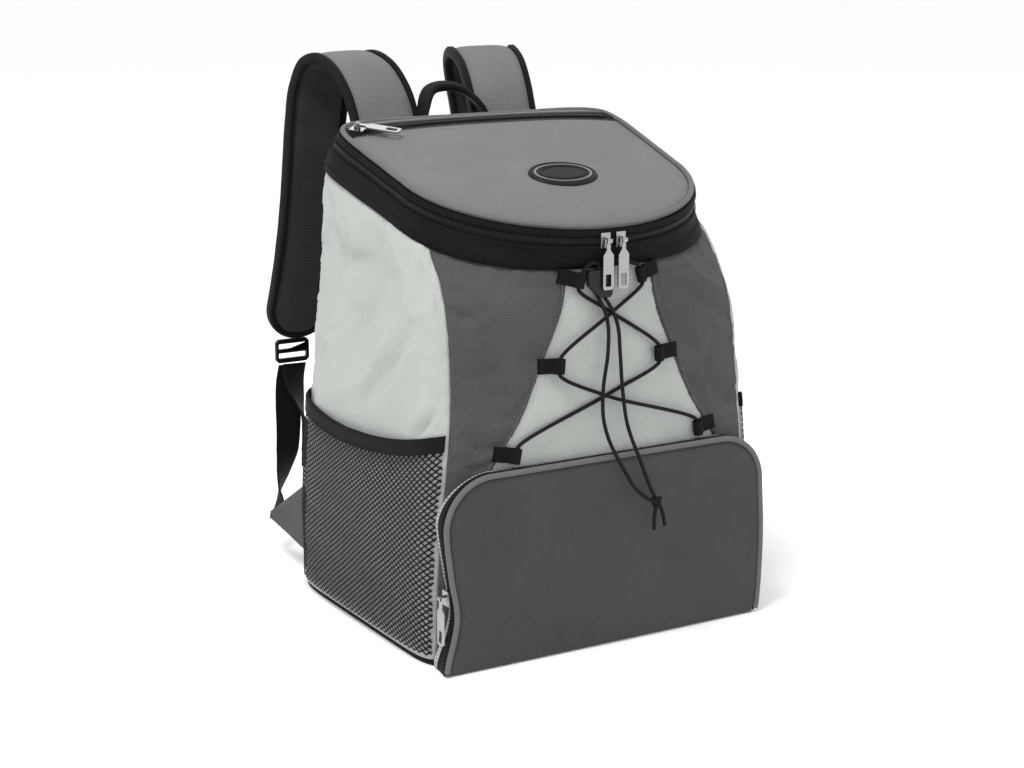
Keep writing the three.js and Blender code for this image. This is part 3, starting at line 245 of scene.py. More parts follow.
# A mesh from points in millimetres, with its faces and an optional UV map in metres
def makePiece(name, points, faces, material, uv=None, rides="bag", smoothed=True):
    points = np.asarray(points, float).reshape(-1, 3)
    data = bpy.data.meshes.new(name)
    faces = np.asarray(faces)
    data.vertices.add(len(points))
    data.vertices.foreach_set("co", (points * mm).ravel())
    corners = faces.shape[1]
    data.loops.add(faces.size)
    data.loops.foreach_set("vertex_index", faces.ravel().astype(np.int32))
    data.polygons.add(len(faces))
    data.polygons.foreach_set("loop_start", np.arange(0, faces.size, corners, dtype=np.int32))
    data.update(calc_edges=True)
    if uv is not None:
        layer = data.uv_layers.new(name="cloth")
        layer.data.foreach_set("uv", np.asarray(uv, float).reshape(-1, 2)[faces.ravel()].ravel())
    data.polygons.foreach_set("use_smooth", np.full(len(faces), smoothed))
    data.materials.append(material)
    data.validate()
    piece = bpy.data.objects.new(ownName(name), data)
    scene.collection.objects.link(piece)
    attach(piece, rides)
    return piece


def gridFaces(rows, columns, wrapRows=False, wrapColumns=False):
    i = np.arange(rows if wrapRows else rows - 1)
    j = np.arange(columns if wrapColumns else columns - 1)
    i, j = np.meshgrid(i, j, indexing="ij")
    k, l = (i + 1) % rows, (j + 1) % columns
    return np.stack([i * columns + j, i * columns + l, k * columns + l, k * columns + j], -1).reshape(-1, 4)


def lengthsOver(grid):  # distances in metres along the rows and columns of a grid of points
    across = np.cumsum(np.linalg.norm(np.diff(grid, axis=1, prepend=grid[:, :1]), axis=2), axis=1)
    upwards = np.cumsum(np.linalg.norm(np.diff(grid, axis=0, prepend=grid[:1]), axis=2), axis=0)
    across = across - across[:, -1:] / 2
    return np.stack([across, np.broadcast_to(upwards.mean(1, keepdims=True), across.shape)], -1) * mm


# Closed slab between an outer and an inner grid
def slabPiece(name, outer, inner, material, rides="bag"):
    rows, columns = outer.shape[:2]
    count = rows * columns
    front = gridFaces(rows, columns)
    back = front[:, ::-1] + count
    edge = np.concatenate([
        np.arange(columns), np.arange(1, rows) * columns + columns - 1,
        (rows - 1) * columns + np.arange(columns - 2, -1, -1), np.arange(rows - 2, 0, -1) * columns,
    ])
    follow = np.roll(edge, -1)
    rim = np.stack([follow, edge, edge + count, follow + count], -1)
    uv = lengthsOver(outer)
    return makePiece(name, np.concatenate([outer.reshape(-1, 3), inner.reshape(-1, 3)]),
                     np.concatenate([front, back, rim]), material, np.concatenate([uv.reshape(-1, 2)] * 2), rides)


def gridNormals(grid):  # unit normals of a grid, from its row and column directions
    across, upwards = np.gradient(grid, axis=1), np.gradient(grid, axis=0)
    normal = np.cross(across, upwards)
    return normal / np.maximum(np.linalg.norm(normal, axis=2, keepdims=True), 1e-9)


# Tube or strip: a closed profile (a, b) carried along points with side and face directions
def sweepPiece(name, points, sides, faces, profile, material, closed=False, rides="bag", uvScale=1.0):
    profile = np.asarray(profile, float)
    if profile.ndim == 2:
        profile = np.broadcast_to(profile, (len(points),) + profile.shape)
    ring = points[:, None] + sides[:, None] * profile[..., :1] + faces[:, None] * profile[..., 1:]
    rows, columns = ring.shape[:2]
    quads = gridFaces(rows, columns, wrapRows=closed, wrapColumns=True)[:, ::-1]
    length = np.concatenate([[0], np.cumsum(np.linalg.norm(np.diff(points, axis=0), axis=1))]) * mm
    around = np.concatenate([[0], np.cumsum(np.linalg.norm(np.diff(profile[0], axis=0), axis=1))]) * mm * uvScale
    uv = np.stack(np.broadcast_arrays(length[:, None], around[None, :]), -1)
    vertices, uvs = ring.reshape(-1, 3), uv.reshape(-1, 2)
    if not closed:  # fans at both ends
        middle = ring[[0, -1]].mean(1)
        first, last = len(vertices), len(vertices) + 1
        vertices = np.concatenate([vertices, middle])
        uvs = np.concatenate([uvs, [(length[0], 0), (length[-1], 0)]])
        j = np.arange(columns)
        k = (j + 1) % columns
        base = (rows - 1) * columns
        quads = np.concatenate([
            quads,
            np.stack([np.full(columns, first), j, k, k], -1),
            np.stack([np.full(columns, last), base + k, base + j, base + j], -1),
        ])
    piece = makeFrom(name, vertices, quads, uvs, material, rides)
    return piece


def makeFrom(name, vertices, quads, uvs, material, rides):
    # Quads whose last two corners are one are triangles
    triangles = quads[quads[:, 2] == quads[:, 3]][:, :3]
    whole = quads[quads[:, 2] != quads[:, 3]]
    data = bpy.data.meshes.new(name)
    data.from_pydata((np.asarray(vertices) * mm).tolist(), [], whole.tolist() + triangles.tolist())
    loops = np.empty(len(data.loops), dtype=np.int32)
    data.loops.foreach_get("vertex_index", loops)
    layer = data.uv_layers.new(name="cloth")
    layer.data.foreach_set("uv", np.asarray(uvs, float)[loops].ravel())
    data.polygons.foreach_set("use_smooth", np.full(len(data.polygons), True))
    data.materials.append(material)
    data.update()
    outward(data)
    piece = bpy.data.objects.new(ownName(name), data)
    scene.collection.objects.link(piece)
    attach(piece, rides)
    return piece


# A piece that stands for a CAD node has the node's name and a word more
def ownName(name):
    return name + "_soft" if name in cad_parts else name


def outward(data):
    shell = bmesh.new()
    shell.from_mesh(data)
    bmesh.ops.recalc_face_normals(shell, faces=shell.faces)
    shell.to_mesh(data)
    shell.free()


def smoothCurve(points, count, closed=False):
    # Centripetal curve through the points, sampled at even lengths
    points = np.asarray(points, float)
    if closed:
        points = np.concatenate([points[-2:], points, points[:3]])
    else:
        points = np.concatenate([2 * points[:1] - points[1:2], points, 2 * points[-1:] - points[-2:-1]])
    knots = np.concatenate([[0], np.cumsum(np.maximum(np.linalg.norm(np.diff(points, axis=0), axis=1), 1e-6) ** 0.5)])
    low, high = (2, len(points) - 3) if closed else (1, len(points) - 2)
    at = np.linspace(knots[low], knots[high], 60 * (high - low) + 1)
    k = np.clip(np.searchsorted(knots, at, side="right") - 1, low, high - 1)
    t0, t1, t2, t3 = (knots[k + d][:, None] for d in (-1, 0, 1, 2))
    p0, p1, p2, p3 = (points[k + d] for d in (-1, 0, 1, 2))
    t = at[:, None]
    a1, a2, a3 = mix(p0, p1, (t - t0) / (t1 - t0)), mix(p1, p2, (t - t1) / (t2 - t1)), mix(p2, p3, (t - t2) / (t3 - t2))
    b1, b2 = mix(a1, a2, (t - t0) / (t2 - t0)), mix(a2, a3, (t - t1) / (t3 - t1))
    line = mix(b1, b2, (t - t1) / (t2 - t1))
    return evenSteps(line, count)


def evenSteps(line, count):
    length = np.concatenate([[0], np.cumsum(np.linalg.norm(np.diff(line, axis=0), axis=1))])
    at = np.linspace(0, length[-1], count)
    return np.stack([np.interp(at, length, line[:, c]) for c in range(3)], -1)


def lineFrames(points, up):
    # Side and face directions along a line, the face as near to up as it can be
    tangent = np.gradient(points, axis=0)
    tangent /= np.linalg.norm(tangent, axis=1, keepdims=True)
    up = np.broadcast_to(np.asarray(up, float), points.shape)
    side = np.cross(tangent, up)
    side /= np.maximum(np.linalg.norm(side, axis=1, keepdims=True), 1e-9)
    return side, np.cross(side, tangent), tangent


def roundProfile(width, height, sides=8, power=2.0):
    turns = np.linspace(0, 2 * math.pi, sides, endpoint=False)
    c, s = np.cos(turns), np.sin(turns)
    return np.stack([width / 2 * np.sign(c) * np.abs(c) ** (2 / power), height / 2 * np.sign(s) * np.abs(s) ** (2 / power)], -1)


# Value noise in several octaves on 2-D places, the same in every run
noiseGrid = np.random.default_rng(7).uniform(-1, 1, (64, 64))


def ripple(x, y, size, octaves=3, shift=0.0):
    total, strength = 0.0, 1.0
    for octave in range(octaves):
        u, v = np.asarray(x) / size + 11.3 * octave + shift, np.asarray(y) / size + 5.7 * octave + shift * 0.7
        i, j = np.floor(u).astype(int), np.floor(v).astype(int)
        a, b = u - i, v - j
        a, b = a * a * (3 - 2 * a), b * b * (3 - 2 * b)
        g = noiseGrid
        value = ((1 - a) * (1 - b) * g[i % 64, j % 64] + a * (1 - b) * g[(i + 1) % 64, j % 64]
                 + (1 - a) * b * g[i % 64, (j + 1) % 64] + a * b * g[(i + 1) % 64, (j + 1) % 64])
        total, strength, size = total + strength * value, strength * 0.5, size / 2
    return total


# Shader building: one call makes a node, sets its values and joins its inputs
def addNode(tree, kind, inputs=None, **settings):
    item = tree.nodes.new(kind)
    for key, value in settings.items():
        setattr(item, key, value)
    for key, value in (inputs or {}).items():
        if isinstance(value, bpy.types.NodeSocket):
            tree.links.new(value, item.inputs[key])
        else:
            item.inputs[key].default_value = value
    return item


def calc(tree, operation, a, b=0.0, c=0.0):
    return addNode(tree, "ShaderNodeMath", {0: a, 1: b, 2: c}, operation=operation).outputs[0]


def newGroup(name, inputs, outputs):
    tree = bpy.data.node_groups.new(name, "ShaderNodeTree")
    for label, kind, value in inputs:
        socket = tree.interface.new_socket(name=label, in_out="INPUT", socket_type=kind)
        if value is not None:
            socket.default_value = value
    for label, kind in outputs:
        tree.interface.new_socket(name=label, in_out="OUTPUT", socket_type=kind)
    return tree, tree.nodes.new("NodeGroupInput"), tree.nodes.new("NodeGroupOutput")


def useGroup(tree, group, **values):
    item = tree.nodes.new("ShaderNodeGroup")
    item.node_tree = group
    for key, value in values.items():
        if isinstance(value, bpy.types.NodeSocket):
            tree.links.new(value, item.inputs[key])
        else:
            item.inputs[key].default_value = value
    return item


# Twill or plain weave on the cloth's own length and width; float picks how many threads it passes over
def buildWeave():
    tree, start, end = newGroup("weave", [("place", "NodeSocketVector", None), ("threads", "NodeSocketFloat", 1000.0),
                                          ("repeat", "NodeSocketFloat", 2.0)],
                                [("height", "NodeSocketFloat"), ("over", "NodeSocketFloat")])
    split = addNode(tree, "ShaderNodeSeparateXYZ", {0: start.outputs["place"]})
    u = calc(tree, "MULTIPLY", split.outputs[0], start.outputs["threads"])
    v = calc(tree, "MULTIPLY", split.outputs[1], start.outputs["threads"])
    warp = calc(tree, "ABSOLUTE", calc(tree, "SINE", calc(tree, "MULTIPLY", u, math.pi)))
    weft = calc(tree, "ABSOLUTE", calc(tree, "SINE", calc(tree, "MULTIPLY", v, math.pi)))
    step = calc(tree, "ADD", calc(tree, "FLOOR", u), calc(tree, "FLOOR", v))
    place = calc(tree, "FLOORED_MODULO", step, start.outputs["repeat"])
    over = calc(tree, "LESS_THAN", place, calc(tree, "SUBTRACT", start.outputs["repeat"], 0.5 + 0.5))
    top = calc(tree, "MULTIPLY", warp, calc(tree, "MULTIPLY_ADD", weft, 0.4, 0.6))
    low = calc(tree, "MULTIPLY", weft, calc(tree, "MULTIPLY_ADD", warp, 0.4, 0.6))
    mixed = addNode(tree, "ShaderNodeMix", {0: over, 2: calc(tree, "MULTIPLY", low, 0.8), 3: top}, data_type="FLOAT")
    tree.links.new(mixed.outputs[0], end.inputs["height"])
    tree.links.new(over, end.inputs["over"])
    return tree


# Uneven dye and fuzz: a broad cloudy mask and a fine grainy one, both about 0.5
def buildMottle():
    tree, start, end = newGroup("mottle", [("place", "NodeSocketVector", None), ("cloud", "NodeSocketFloat", 18.0),
                                           ("grain", "NodeSocketFloat", 900.0)],
                                [("cloudy", "NodeSocketFloat"), ("grainy", "NodeSocketFloat")])
    broad = addNode(tree, "ShaderNodeTexNoise", {"Vector": start.outputs["place"], "Scale": start.outputs["cloud"],
                                                 "Detail": 3.0, "Roughness": 0.55})
    fine = addNode(tree, "ShaderNodeTexNoise", {"Vector": start.outputs["place"], "Scale": start.outputs["grain"],
                                                "Detail": 2.0, "Roughness": 0.6})
    tree.links.new(broad.outputs[0], end.inputs["cloudy"])
    tree.links.new(fine.outputs[0], end.inputs["grainy"])
    return tree


# Ribs across a tape: rounded ridges along its length with a flat selvedge at both edges
def buildRibs():
    tree, start, end = newGroup("ribs", [("place", "NodeSocketVector", None), ("along", "NodeSocketFloat", 500.0),
                                         ("across", "NodeSocketFloat", 900.0)],
                                [("height", "NodeSocketFloat")])
    split = addNode(tree, "ShaderNodeSeparateXYZ", {0: start.outputs["place"]})
    u = calc(tree, "MULTIPLY", split.outputs[0], start.outputs["along"])
    v = calc(tree, "MULTIPLY", split.outputs[1], start.outputs["across"])
    shift = calc(tree, "MULTIPLY", calc(tree, "FLOORED_MODULO", calc(tree, "FLOOR", v), 2.0), 0.5)
    rib = calc(tree, "ABSOLUTE", calc(tree, "SINE", calc(tree, "MULTIPLY", calc(tree, "ADD", u, shift), math.pi)))
    cord = calc(tree, "ABSOLUTE", calc(tree, "SINE", calc(tree, "MULTIPLY", v, math.pi)))
    tree.links.new(calc(tree, "MULTIPLY", calc(tree, "POWER", rib, 0.6), calc(tree, "MULTIPLY_ADD", cord, 0.5, 0.5)),
                   end.inputs["height"])
    return tree


weave, mottle, ribs = buildWeave(), buildMottle(), buildRibs()


def startMaterial(name):
    material = bpy.data.materials.new(name)
    material.use_nodes = True
    tree = material.node_tree
    tree.nodes.clear()
    shader = tree.nodes.new("ShaderNodeBsdfPrincipled")
    result = tree.nodes.new("ShaderNodeOutputMaterial")
    tree.links.new(shader.outputs[0], result.inputs[0])
    return material, tree, shader


def colourBetween(tree, factor, dark, light):
    item = addNode(tree, "ShaderNodeMix", {0: factor, 6: (*dark, 1), 7: (*light, 1)}, data_type="RGBA")
    return item.outputs[2]


def setBump(tree, shader, height, strength, distance):
    raised = addNode(tree, "ShaderNodeBump", {"Height": height, "Strength": strength, "Distance": distance})
    tree.links.new(raised.outputs[0], shader.inputs["Normal"])


# Woven cloth: uneven dye, a soft sheen, and painted shade and light on the weave: dark where the threads lie low, light
# on their raised tops
def clothMaterial(name, colour, threads=600, repeat=2, contrast=0.45, cloud=0.12, sheen=0.06, roughness=0.85, bump=0.8, gloss=0.12):
    material, tree, shader = startMaterial(name)
    uv = addNode(tree, "ShaderNodeUVMap", uv_map="cloth").outputs[0]
    place = tree.nodes.new("ShaderNodeTexCoord").outputs["Object"]
    threadWork = useGroup(tree, weave, place=uv, threads=float(threads), repeat=float(repeat))
    dye = useGroup(tree, mottle, place=place)
    # Colour from the thread height is painted shade in the gaps between threads and painted light on their tops; the
    # dye clouds and fuzz are real
    dyeAndThreadShade = calc(tree, "MULTIPLY_ADD", threadWork.outputs["height"], 0.75, calc(tree, "MULTIPLY", dye.outputs["grainy"], 0.25))
    dyeAndThreadShade = calc(tree, "ADD", dyeAndThreadShade, calc(tree, "MULTIPLY", calc(tree, "SUBTRACT", dye.outputs["cloudy"], 0.5), cloud * 6))
    low, high = [c * (1 - contrast) for c in colour], [min(c * (1 + contrast * 0.55), 1) for c in colour]
    tree.links.new(colourBetween(tree, dyeAndThreadShade, low, high), shader.inputs["Base Color"])
    tree.links.new(calc(tree, "MULTIPLY_ADD", dye.outputs["grainy"], 0.16, roughness - 0.08), shader.inputs["Roughness"])
    shader.inputs["Sheen Weight"].default_value = sheen
    shader.inputs["Sheen Roughness"].default_value = 0.5
    shader.inputs["Specular IOR Level"].default_value = gloss
    fuzzy = calc(tree, "MULTIPLY_ADD", dye.outputs["grainy"], 0.3, threadWork.outputs["height"])
    setBump(tree, shader, fuzzy, bump, 0.0004)
    return material


# Ribbed tape and webbing, with a slight gloss on the threads and painted shade in the grooves between the ribs
def tapeMaterial(name, colour, alongRibs=620, acrossRibs=900, roughness=0.55, bump=0.8, contrast=0.6, gloss=0.1):
    material, tree, shader = startMaterial(name)
    uv = addNode(tree, "ShaderNodeUVMap", uv_map="cloth").outputs[0]
    place = tree.nodes.new("ShaderNodeTexCoord").outputs["Object"]
    ridge = useGroup(tree, ribs, place=uv, along=float(alongRibs), across=float(acrossRibs))
    dye = useGroup(tree, mottle, place=place)
    # Colour from the rib height is painted shade in the grooves and painted light on the rib tops; the dye clouds are
    # real
    dyeAndThreadShade = calc(tree, "MULTIPLY_ADD", ridge.outputs["height"], 0.7, calc(tree, "MULTIPLY", dye.outputs["cloudy"], 0.3))
    low, high = [c * (1 - contrast) for c in colour], [c * (1 + contrast) for c in colour]
    tree.links.new(colourBetween(tree, dyeAndThreadShade, low, high), shader.inputs["Base Color"])
    tree.links.new(calc(tree, "MULTIPLY_ADD", dye.outputs["grainy"], 0.2, roughness - 0.1), shader.inputs["Roughness"])
    shader.inputs["Specular IOR Level"].default_value = gloss
    setBump(tree, shader, ridge.outputs["height"], bump, 0.0005)
    return material


# Moulded plastic and rubber: fine grain, small scuffs
def mouldedMaterial(name, colour, roughness=0.4, grain=1400.0, bump=0.12, coat=0.0, gloss=0.3):
    material, tree, shader = startMaterial(name)
    place = tree.nodes.new("ShaderNodeTexCoord").outputs["Object"]
    dye = useGroup(tree, mottle, place=place, cloud=60.0, grain=grain)
    low, high = [c * 0.8 for c in colour], [min(c * 1.3, 1) for c in colour]
    tree.links.new(colourBetween(tree, dye.outputs["cloudy"], low, high), shader.inputs["Base Color"])
    tree.links.new(calc(tree, "MULTIPLY_ADD", dye.outputs["cloudy"], 0.25, roughness - 0.12), shader.inputs["Roughness"])
    shader.inputs["Coat Weight"].default_value = coat
    shader.inputs["Specular IOR Level"].default_value = gloss
    setBump(tree, shader, dye.outputs["grainy"], bump, 0.0003)
    return material


def metalMaterial(name, colour, roughness):
    material, tree, shader = startMaterial(name)
    place = tree.nodes.new("ShaderNodeTexCoord").outputs["Object"]
    dye = useGroup(tree, mottle, place=place, cloud=160.0, grain=2600.0)
    low, high = [c * 0.82 for c in colour], [min(c * 1.05, 1) for c in colour]
    tree.links.new(colourBetween(tree, dye.outputs["cloudy"], low, high), shader.inputs["Base Color"])
    tree.links.new(calc(tree, "MULTIPLY_ADD", dye.outputs["cloudy"], 0.16, roughness - 0.06), shader.inputs["Roughness"])
    shader.inputs["Metallic"].default_value = 1.0
    setBump(tree, shader, dye.outputs["grainy"], 0.05, 0.0002)
    return material


# Colours are linear light
finish = {
    "lightCloth": clothMaterial("light grey cloth", (0.44, 0.464, 0.44), contrast=0.28, cloud=0.05),
    "darkCloth": clothMaterial("dark grey cloth", (0.078, 0.078, 0.079), contrast=0.55, cloud=0.1),
    "pocketCloth": clothMaterial("pocket grey cloth", (0.062, 0.062, 0.063), contrast=0.5, cloud=0.08),
    # The lid cloth is the dark grey cloth made lighter: painted top light and sheen
    "lidClothPaintedLight": clothMaterial("lid cloth with painted top light", (0.172, 0.172, 0.173), contrast=0.5, cloud=0.06),
    "strapCloth": clothMaterial("strap grey cloth", (0.172, 0.172, 0.173), contrast=0.5, cloud=0.08),
    "strapLining": clothMaterial("strap lining", (0.038, 0.038, 0.0385), threads=420, contrast=0.6, bump=1.0),
    "innerCloth": clothMaterial("charcoal back cloth", (0.03, 0.03, 0.031), threads=600, contrast=0.4),
    "pipingCloth": clothMaterial("piping cloth", (0.135, 0.135, 0.136), contrast=0.25, cloud=0.05),
    "blackCloth": clothMaterial("black nylon", (0.0065, 0.0065, 0.0068), threads=1000, contrast=0.6, roughness=0.6, sheen=0.0, gloss=0.09),
    "tape": tapeMaterial("black tape", (0.0065, 0.0065, 0.0068)),
    "webbing": tapeMaterial("black webbing", (0.0055, 0.0055, 0.0058), alongRibs=430, acrossRibs=650, gloss=0.08),
    "zipTape": tapeMaterial("zip tape", (0.004, 0.004, 0.0042), alongRibs=1300, acrossRibs=1300, bump=0.4),
    "elastic": tapeMaterial("shock cord", (0.007, 0.007, 0.0073), alongRibs=900, acrossRibs=1100, gloss=0.14),
    "net": mouldedMaterial("net strands", (0.0065, 0.0065, 0.0068), roughness=0.6, grain=2200.0, bump=0.3, gloss=0.12),
    "teeth": mouldedMaterial("zip teeth", (0.012, 0.012, 0.0125), roughness=0.35, gloss=0.35),
    "thread": mouldedMaterial("grey thread", (0.14, 0.14, 0.143), roughness=0.6, grain=3000.0, bump=0.3),
    "darkThread": mouldedMaterial("black thread", (0.008, 0.008, 0.0083), roughness=0.6, grain=3000.0, bump=0.3, gloss=0.15),
    "rubber": mouldedMaterial("badge rubber", (0.008, 0.008, 0.0083), roughness=0.5, grain=1700.0, bump=0.2, gloss=0.15),
    "badgeRing": mouldedMaterial("badge ring", (0.16, 0.162, 0.16), roughness=0.5),
    "plastic": mouldedMaterial("black plastic", (0.008, 0.008, 0.0085), roughness=0.32, coat=0.05, gloss=0.25),
    "chrome": metalMaterial("bright zip metal", (0.42, 0.42, 0.425), 0.22),
}
print("materials made")


# Free edges of a cloth grid are sewn: it settles under a light air pressure with a little more cloth than its place,
# and no point moves further than the limit
def settle(grid, growth=0.02, pressure=1.5, limit=5.0, frames=14, sewn=None, bending=0.6):
    rows, columns = grid.shape[:2]
    data = bpy.data.meshes.new("settling")
    data.from_pydata((grid.reshape(-1, 3) * mm).tolist(), [], gridFaces(rows, columns).tolist())
    cloth = bpy.data.objects.new("settling", data)
    scene.collection.objects.link(cloth)
    if sewn is None:
        i, j = np.meshgrid(np.arange(rows), np.arange(columns), indexing="ij")
        edge = np.minimum(np.minimum(i, rows - 1 - i), np.minimum(j, columns - 1 - j))
        sewn = np.clip(1 - edge / 2, 0, 1)
    group = cloth.vertex_groups.new(name="sewn")
    for weight in (1.0, 0.5):
        chosen = np.flatnonzero(np.isclose(sewn.ravel(), weight))
        group.add(chosen.tolist(), weight, "REPLACE")
    modifier = cloth.modifiers.new("cloth", "CLOTH")
    settings = modifier.settings
    settings.quality = 6
    settings.mass = 0.15
    settings.tension_stiffness = settings.compression_stiffness = 20
    settings.shear_stiffness = 12
    settings.bending_stiffness = bending
    settings.vertex_group_mass = "sewn"
    settings.shrink_min = -growth
    settings.use_pressure = True
    settings.uniform_pressure_force = pressure
    settings.effector_weights.gravity = 0
    modifier.collision_settings.use_collision = False
    modifier.point_cache.frame_start, modifier.point_cache.frame_end = 1, frames
    for number in range(1, frames + 1):
        scene.frame_set(number)
    shape = cloth.evaluated_get(bpy.context.evaluated_depsgraph_get()).data
    moved = np.empty(rows * columns * 3)
    shape.vertices.foreach_get("co", moved)
    scene.frame_set(1)
    bpy.data.objects.remove(cloth)
    step = moved.reshape(rows, columns, 3) / mm - grid
    step = np.nan_to_num(step)
    length = np.linalg.norm(step, axis=2, keepdims=True)
    return grid + step * limit * np.tanh(length / limit) / np.maximum(length, 1e-6)


# Height of folds on a panel: each fold is a ridge (or valley) along a line, fading to both its ends
def folds(x, y, lines):
    total = np.zeros(np.broadcast(x, y).shape)
    for points, width, height in lines:
        line = evenSteps(np.array([(a, b, 0.0) for a, b in points], float), 24)[:, :2]
        if len(points) > 2:
            line = smoothCurve([(a, b, 0.0) for a, b in points], 24)[:, :2]
        away = np.hypot(x[..., None] - line[:, 0], y[..., None] - line[:, 1])
        near = away.argmin(-1)
        fade = np.sin(math.pi * np.clip((near + 0.5) / 24, 0, 1)) ** 0.7
        distance = away.min(-1)
        total = total + height * fade * np.exp(-(distance / width) ** 2) * (1 + 0.15 * np.cos(distance / width * 3))
    return total


# Walls: each panel lies on the bag between two seams, dips into the seams and stands a little proud between them
walls = {"rows": 132, "top": 0.9985, "thickness": 5.0, "backThickness": 9.0, "dip": 1.7, "puff": 1.3, "hem": 1.3, "growth": 0.022, "tuck": 1.2,
         "swell": 4.5, "netSwell": 1.8, "lacingSwell": 0.5, "wingSwell": 3.0}


def wallGrid(fromSeam, toSeam, columns, out, rows=None, lap=(0.0, 0.0)):
    up = np.linspace(0, walls["top"], rows or walls["rows"])
    total = np.interp(up, upTable, outlineTotal)
    a, b = fromSeam(up) - lap[0] / total, toSeam(up) + lap[1] / total
    share = a[:, None] + (b - a)[:, None] * np.linspace(0, 1, columns)
    up = np.broadcast_to(up[:, None], share.shape)
    left, right = (share - a[:, None]) * total[:, None], (b[:, None] - share) * total[:, None]
    z = onBag(up, share)[..., 2]
    tuck = walls["tuck"] * smooth(0.955, 0.995, up)
    return onBag(up, share, out(left, right, z) * (1 - smooth(0.93, 0.985, up)) - tuck), left, right


def seamed(distance):  # dip at a seam that rises to the panel's height within some 10 mm
    return walls["puff"] * (1 - np.exp(-distance / 8)) - walls["dip"] * np.exp(-distance / 2.0)


def finishWall(name, grid, height, material, thickness=None, limit=None):
    grid = settle(grid, walls["growth"], limit=walls["swell"] if limit is None else limit)
    normal = gridNormals(grid)
    outer = grid + normal * height[..., None]
    inner = outer - normal * (thickness or walls["thickness"])
    piece = slabPiece(name, outer, inner, material)
    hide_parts(name)
    return outer


def fadeEdges(left, right, rows, reach=6.0):  # 0 at the seams, 1 inside
    ends = np.linspace(0, 1, rows)[:, None]
    return (1 - np.exp(-np.minimum(left, right) / reach)) * smooth(0, 0.03, ends) * smooth(0.025, 0.085, 1 - ends)


wallShapes = {}
sideFolds = {
    "left": [
        ([(9, 213), (16, 198), (31, 180)], 3.2, -3.84), ([(20, 215), (27, 200), (40, 186)], 5, 2.56),
        ([(36, 272), (62, 240), (92, 212), (118, 190)], 10, -4.8), ([(22, 262), (50, 232), (78, 204)], 11, 3.2),
        ([(84, 292), (112, 262), (136, 232), (146, 196)], 12, -3.84), ([(70, 255), (104, 222), (124, 194)], 9, 2.56),
        ([(12, 352), (26, 330), (38, 308)], 5, -3.2), ([(26, 358), (44, 330), (58, 300)], 8, 2.88),
        ([(5, 318), (20, 306), (32, 288)], 4.5, -2.4), ([(4, 290), (22, 276), (44, 268)], 6, 2.24),
        ([(60, 372), (74, 345), (92, 318)], 9, -2.56), ([(110, 366), (122, 330), (128, 300)], 10, 2.24),
        ([(150, 380), (158, 340), (166, 290)], 9, -2.24), ([(180, 352), (176, 300), (180, 250)], 9, 2.08),
    ],
    "right": [
        ([(10, 222), (20, 204), (36, 188)], 4, -3.52), ([(40, 280), (66, 250), (94, 216)], 10, -4.16),
        ([(90, 300), (116, 266), (140, 224)], 12, 3.52), ([(18, 350), (34, 326), (50, 300)], 7, 2.56),
        ([(70, 366), (86, 336), (98, 306)], 9, -2.56), ([(150, 376), (160, 330), (164, 280)], 9, 2.24),
    ],
}
wingFolds = {
    "left": [
        ([(1, 330), (18, 318), (36, 309)], 4, -2.63), ([(2, 313), (22, 303), (46, 300)], 4, 2.02),
        ([(1, 303), (16, 297), (34, 299)], 3.4, -2.63), ([(1, 284), (18, 278), (40, 284)], 4.5, -2.33),
        ([(1, 272), (18, 268), (36, 270)], 5, 1.86), ([(8, 186), (28, 176), (54, 184)], 6, -3.41),
        ([(2, 168), (24, 161), (46, 168)], 6, -2.79), ([(6, 198), (30, 190), (56, 196)], 7, 2.48),
        ([(46, 320), (64, 300), (72, 270)], 9, 1.86), ([(2, 240), (20, 232), (44, 236)], 7, -1.4),
    ],
    "right": [
        ([(52, 322), (70, 300), (84, 292)], 6, -2.79), ([(40, 300), (60, 284), (82, 274)], 7, 2.33),
        ([(30, 286), (56, 262), (86, 250)], 6, -2.48), ([(30, 214), (52, 202), (74, 204)], 8, 2.17),
        ([(30, 186), (52, 176), (76, 182)], 6, -2.79), ([(44, 250), (60, 236), (84, 226)], 6, -1.55),
    ],
}


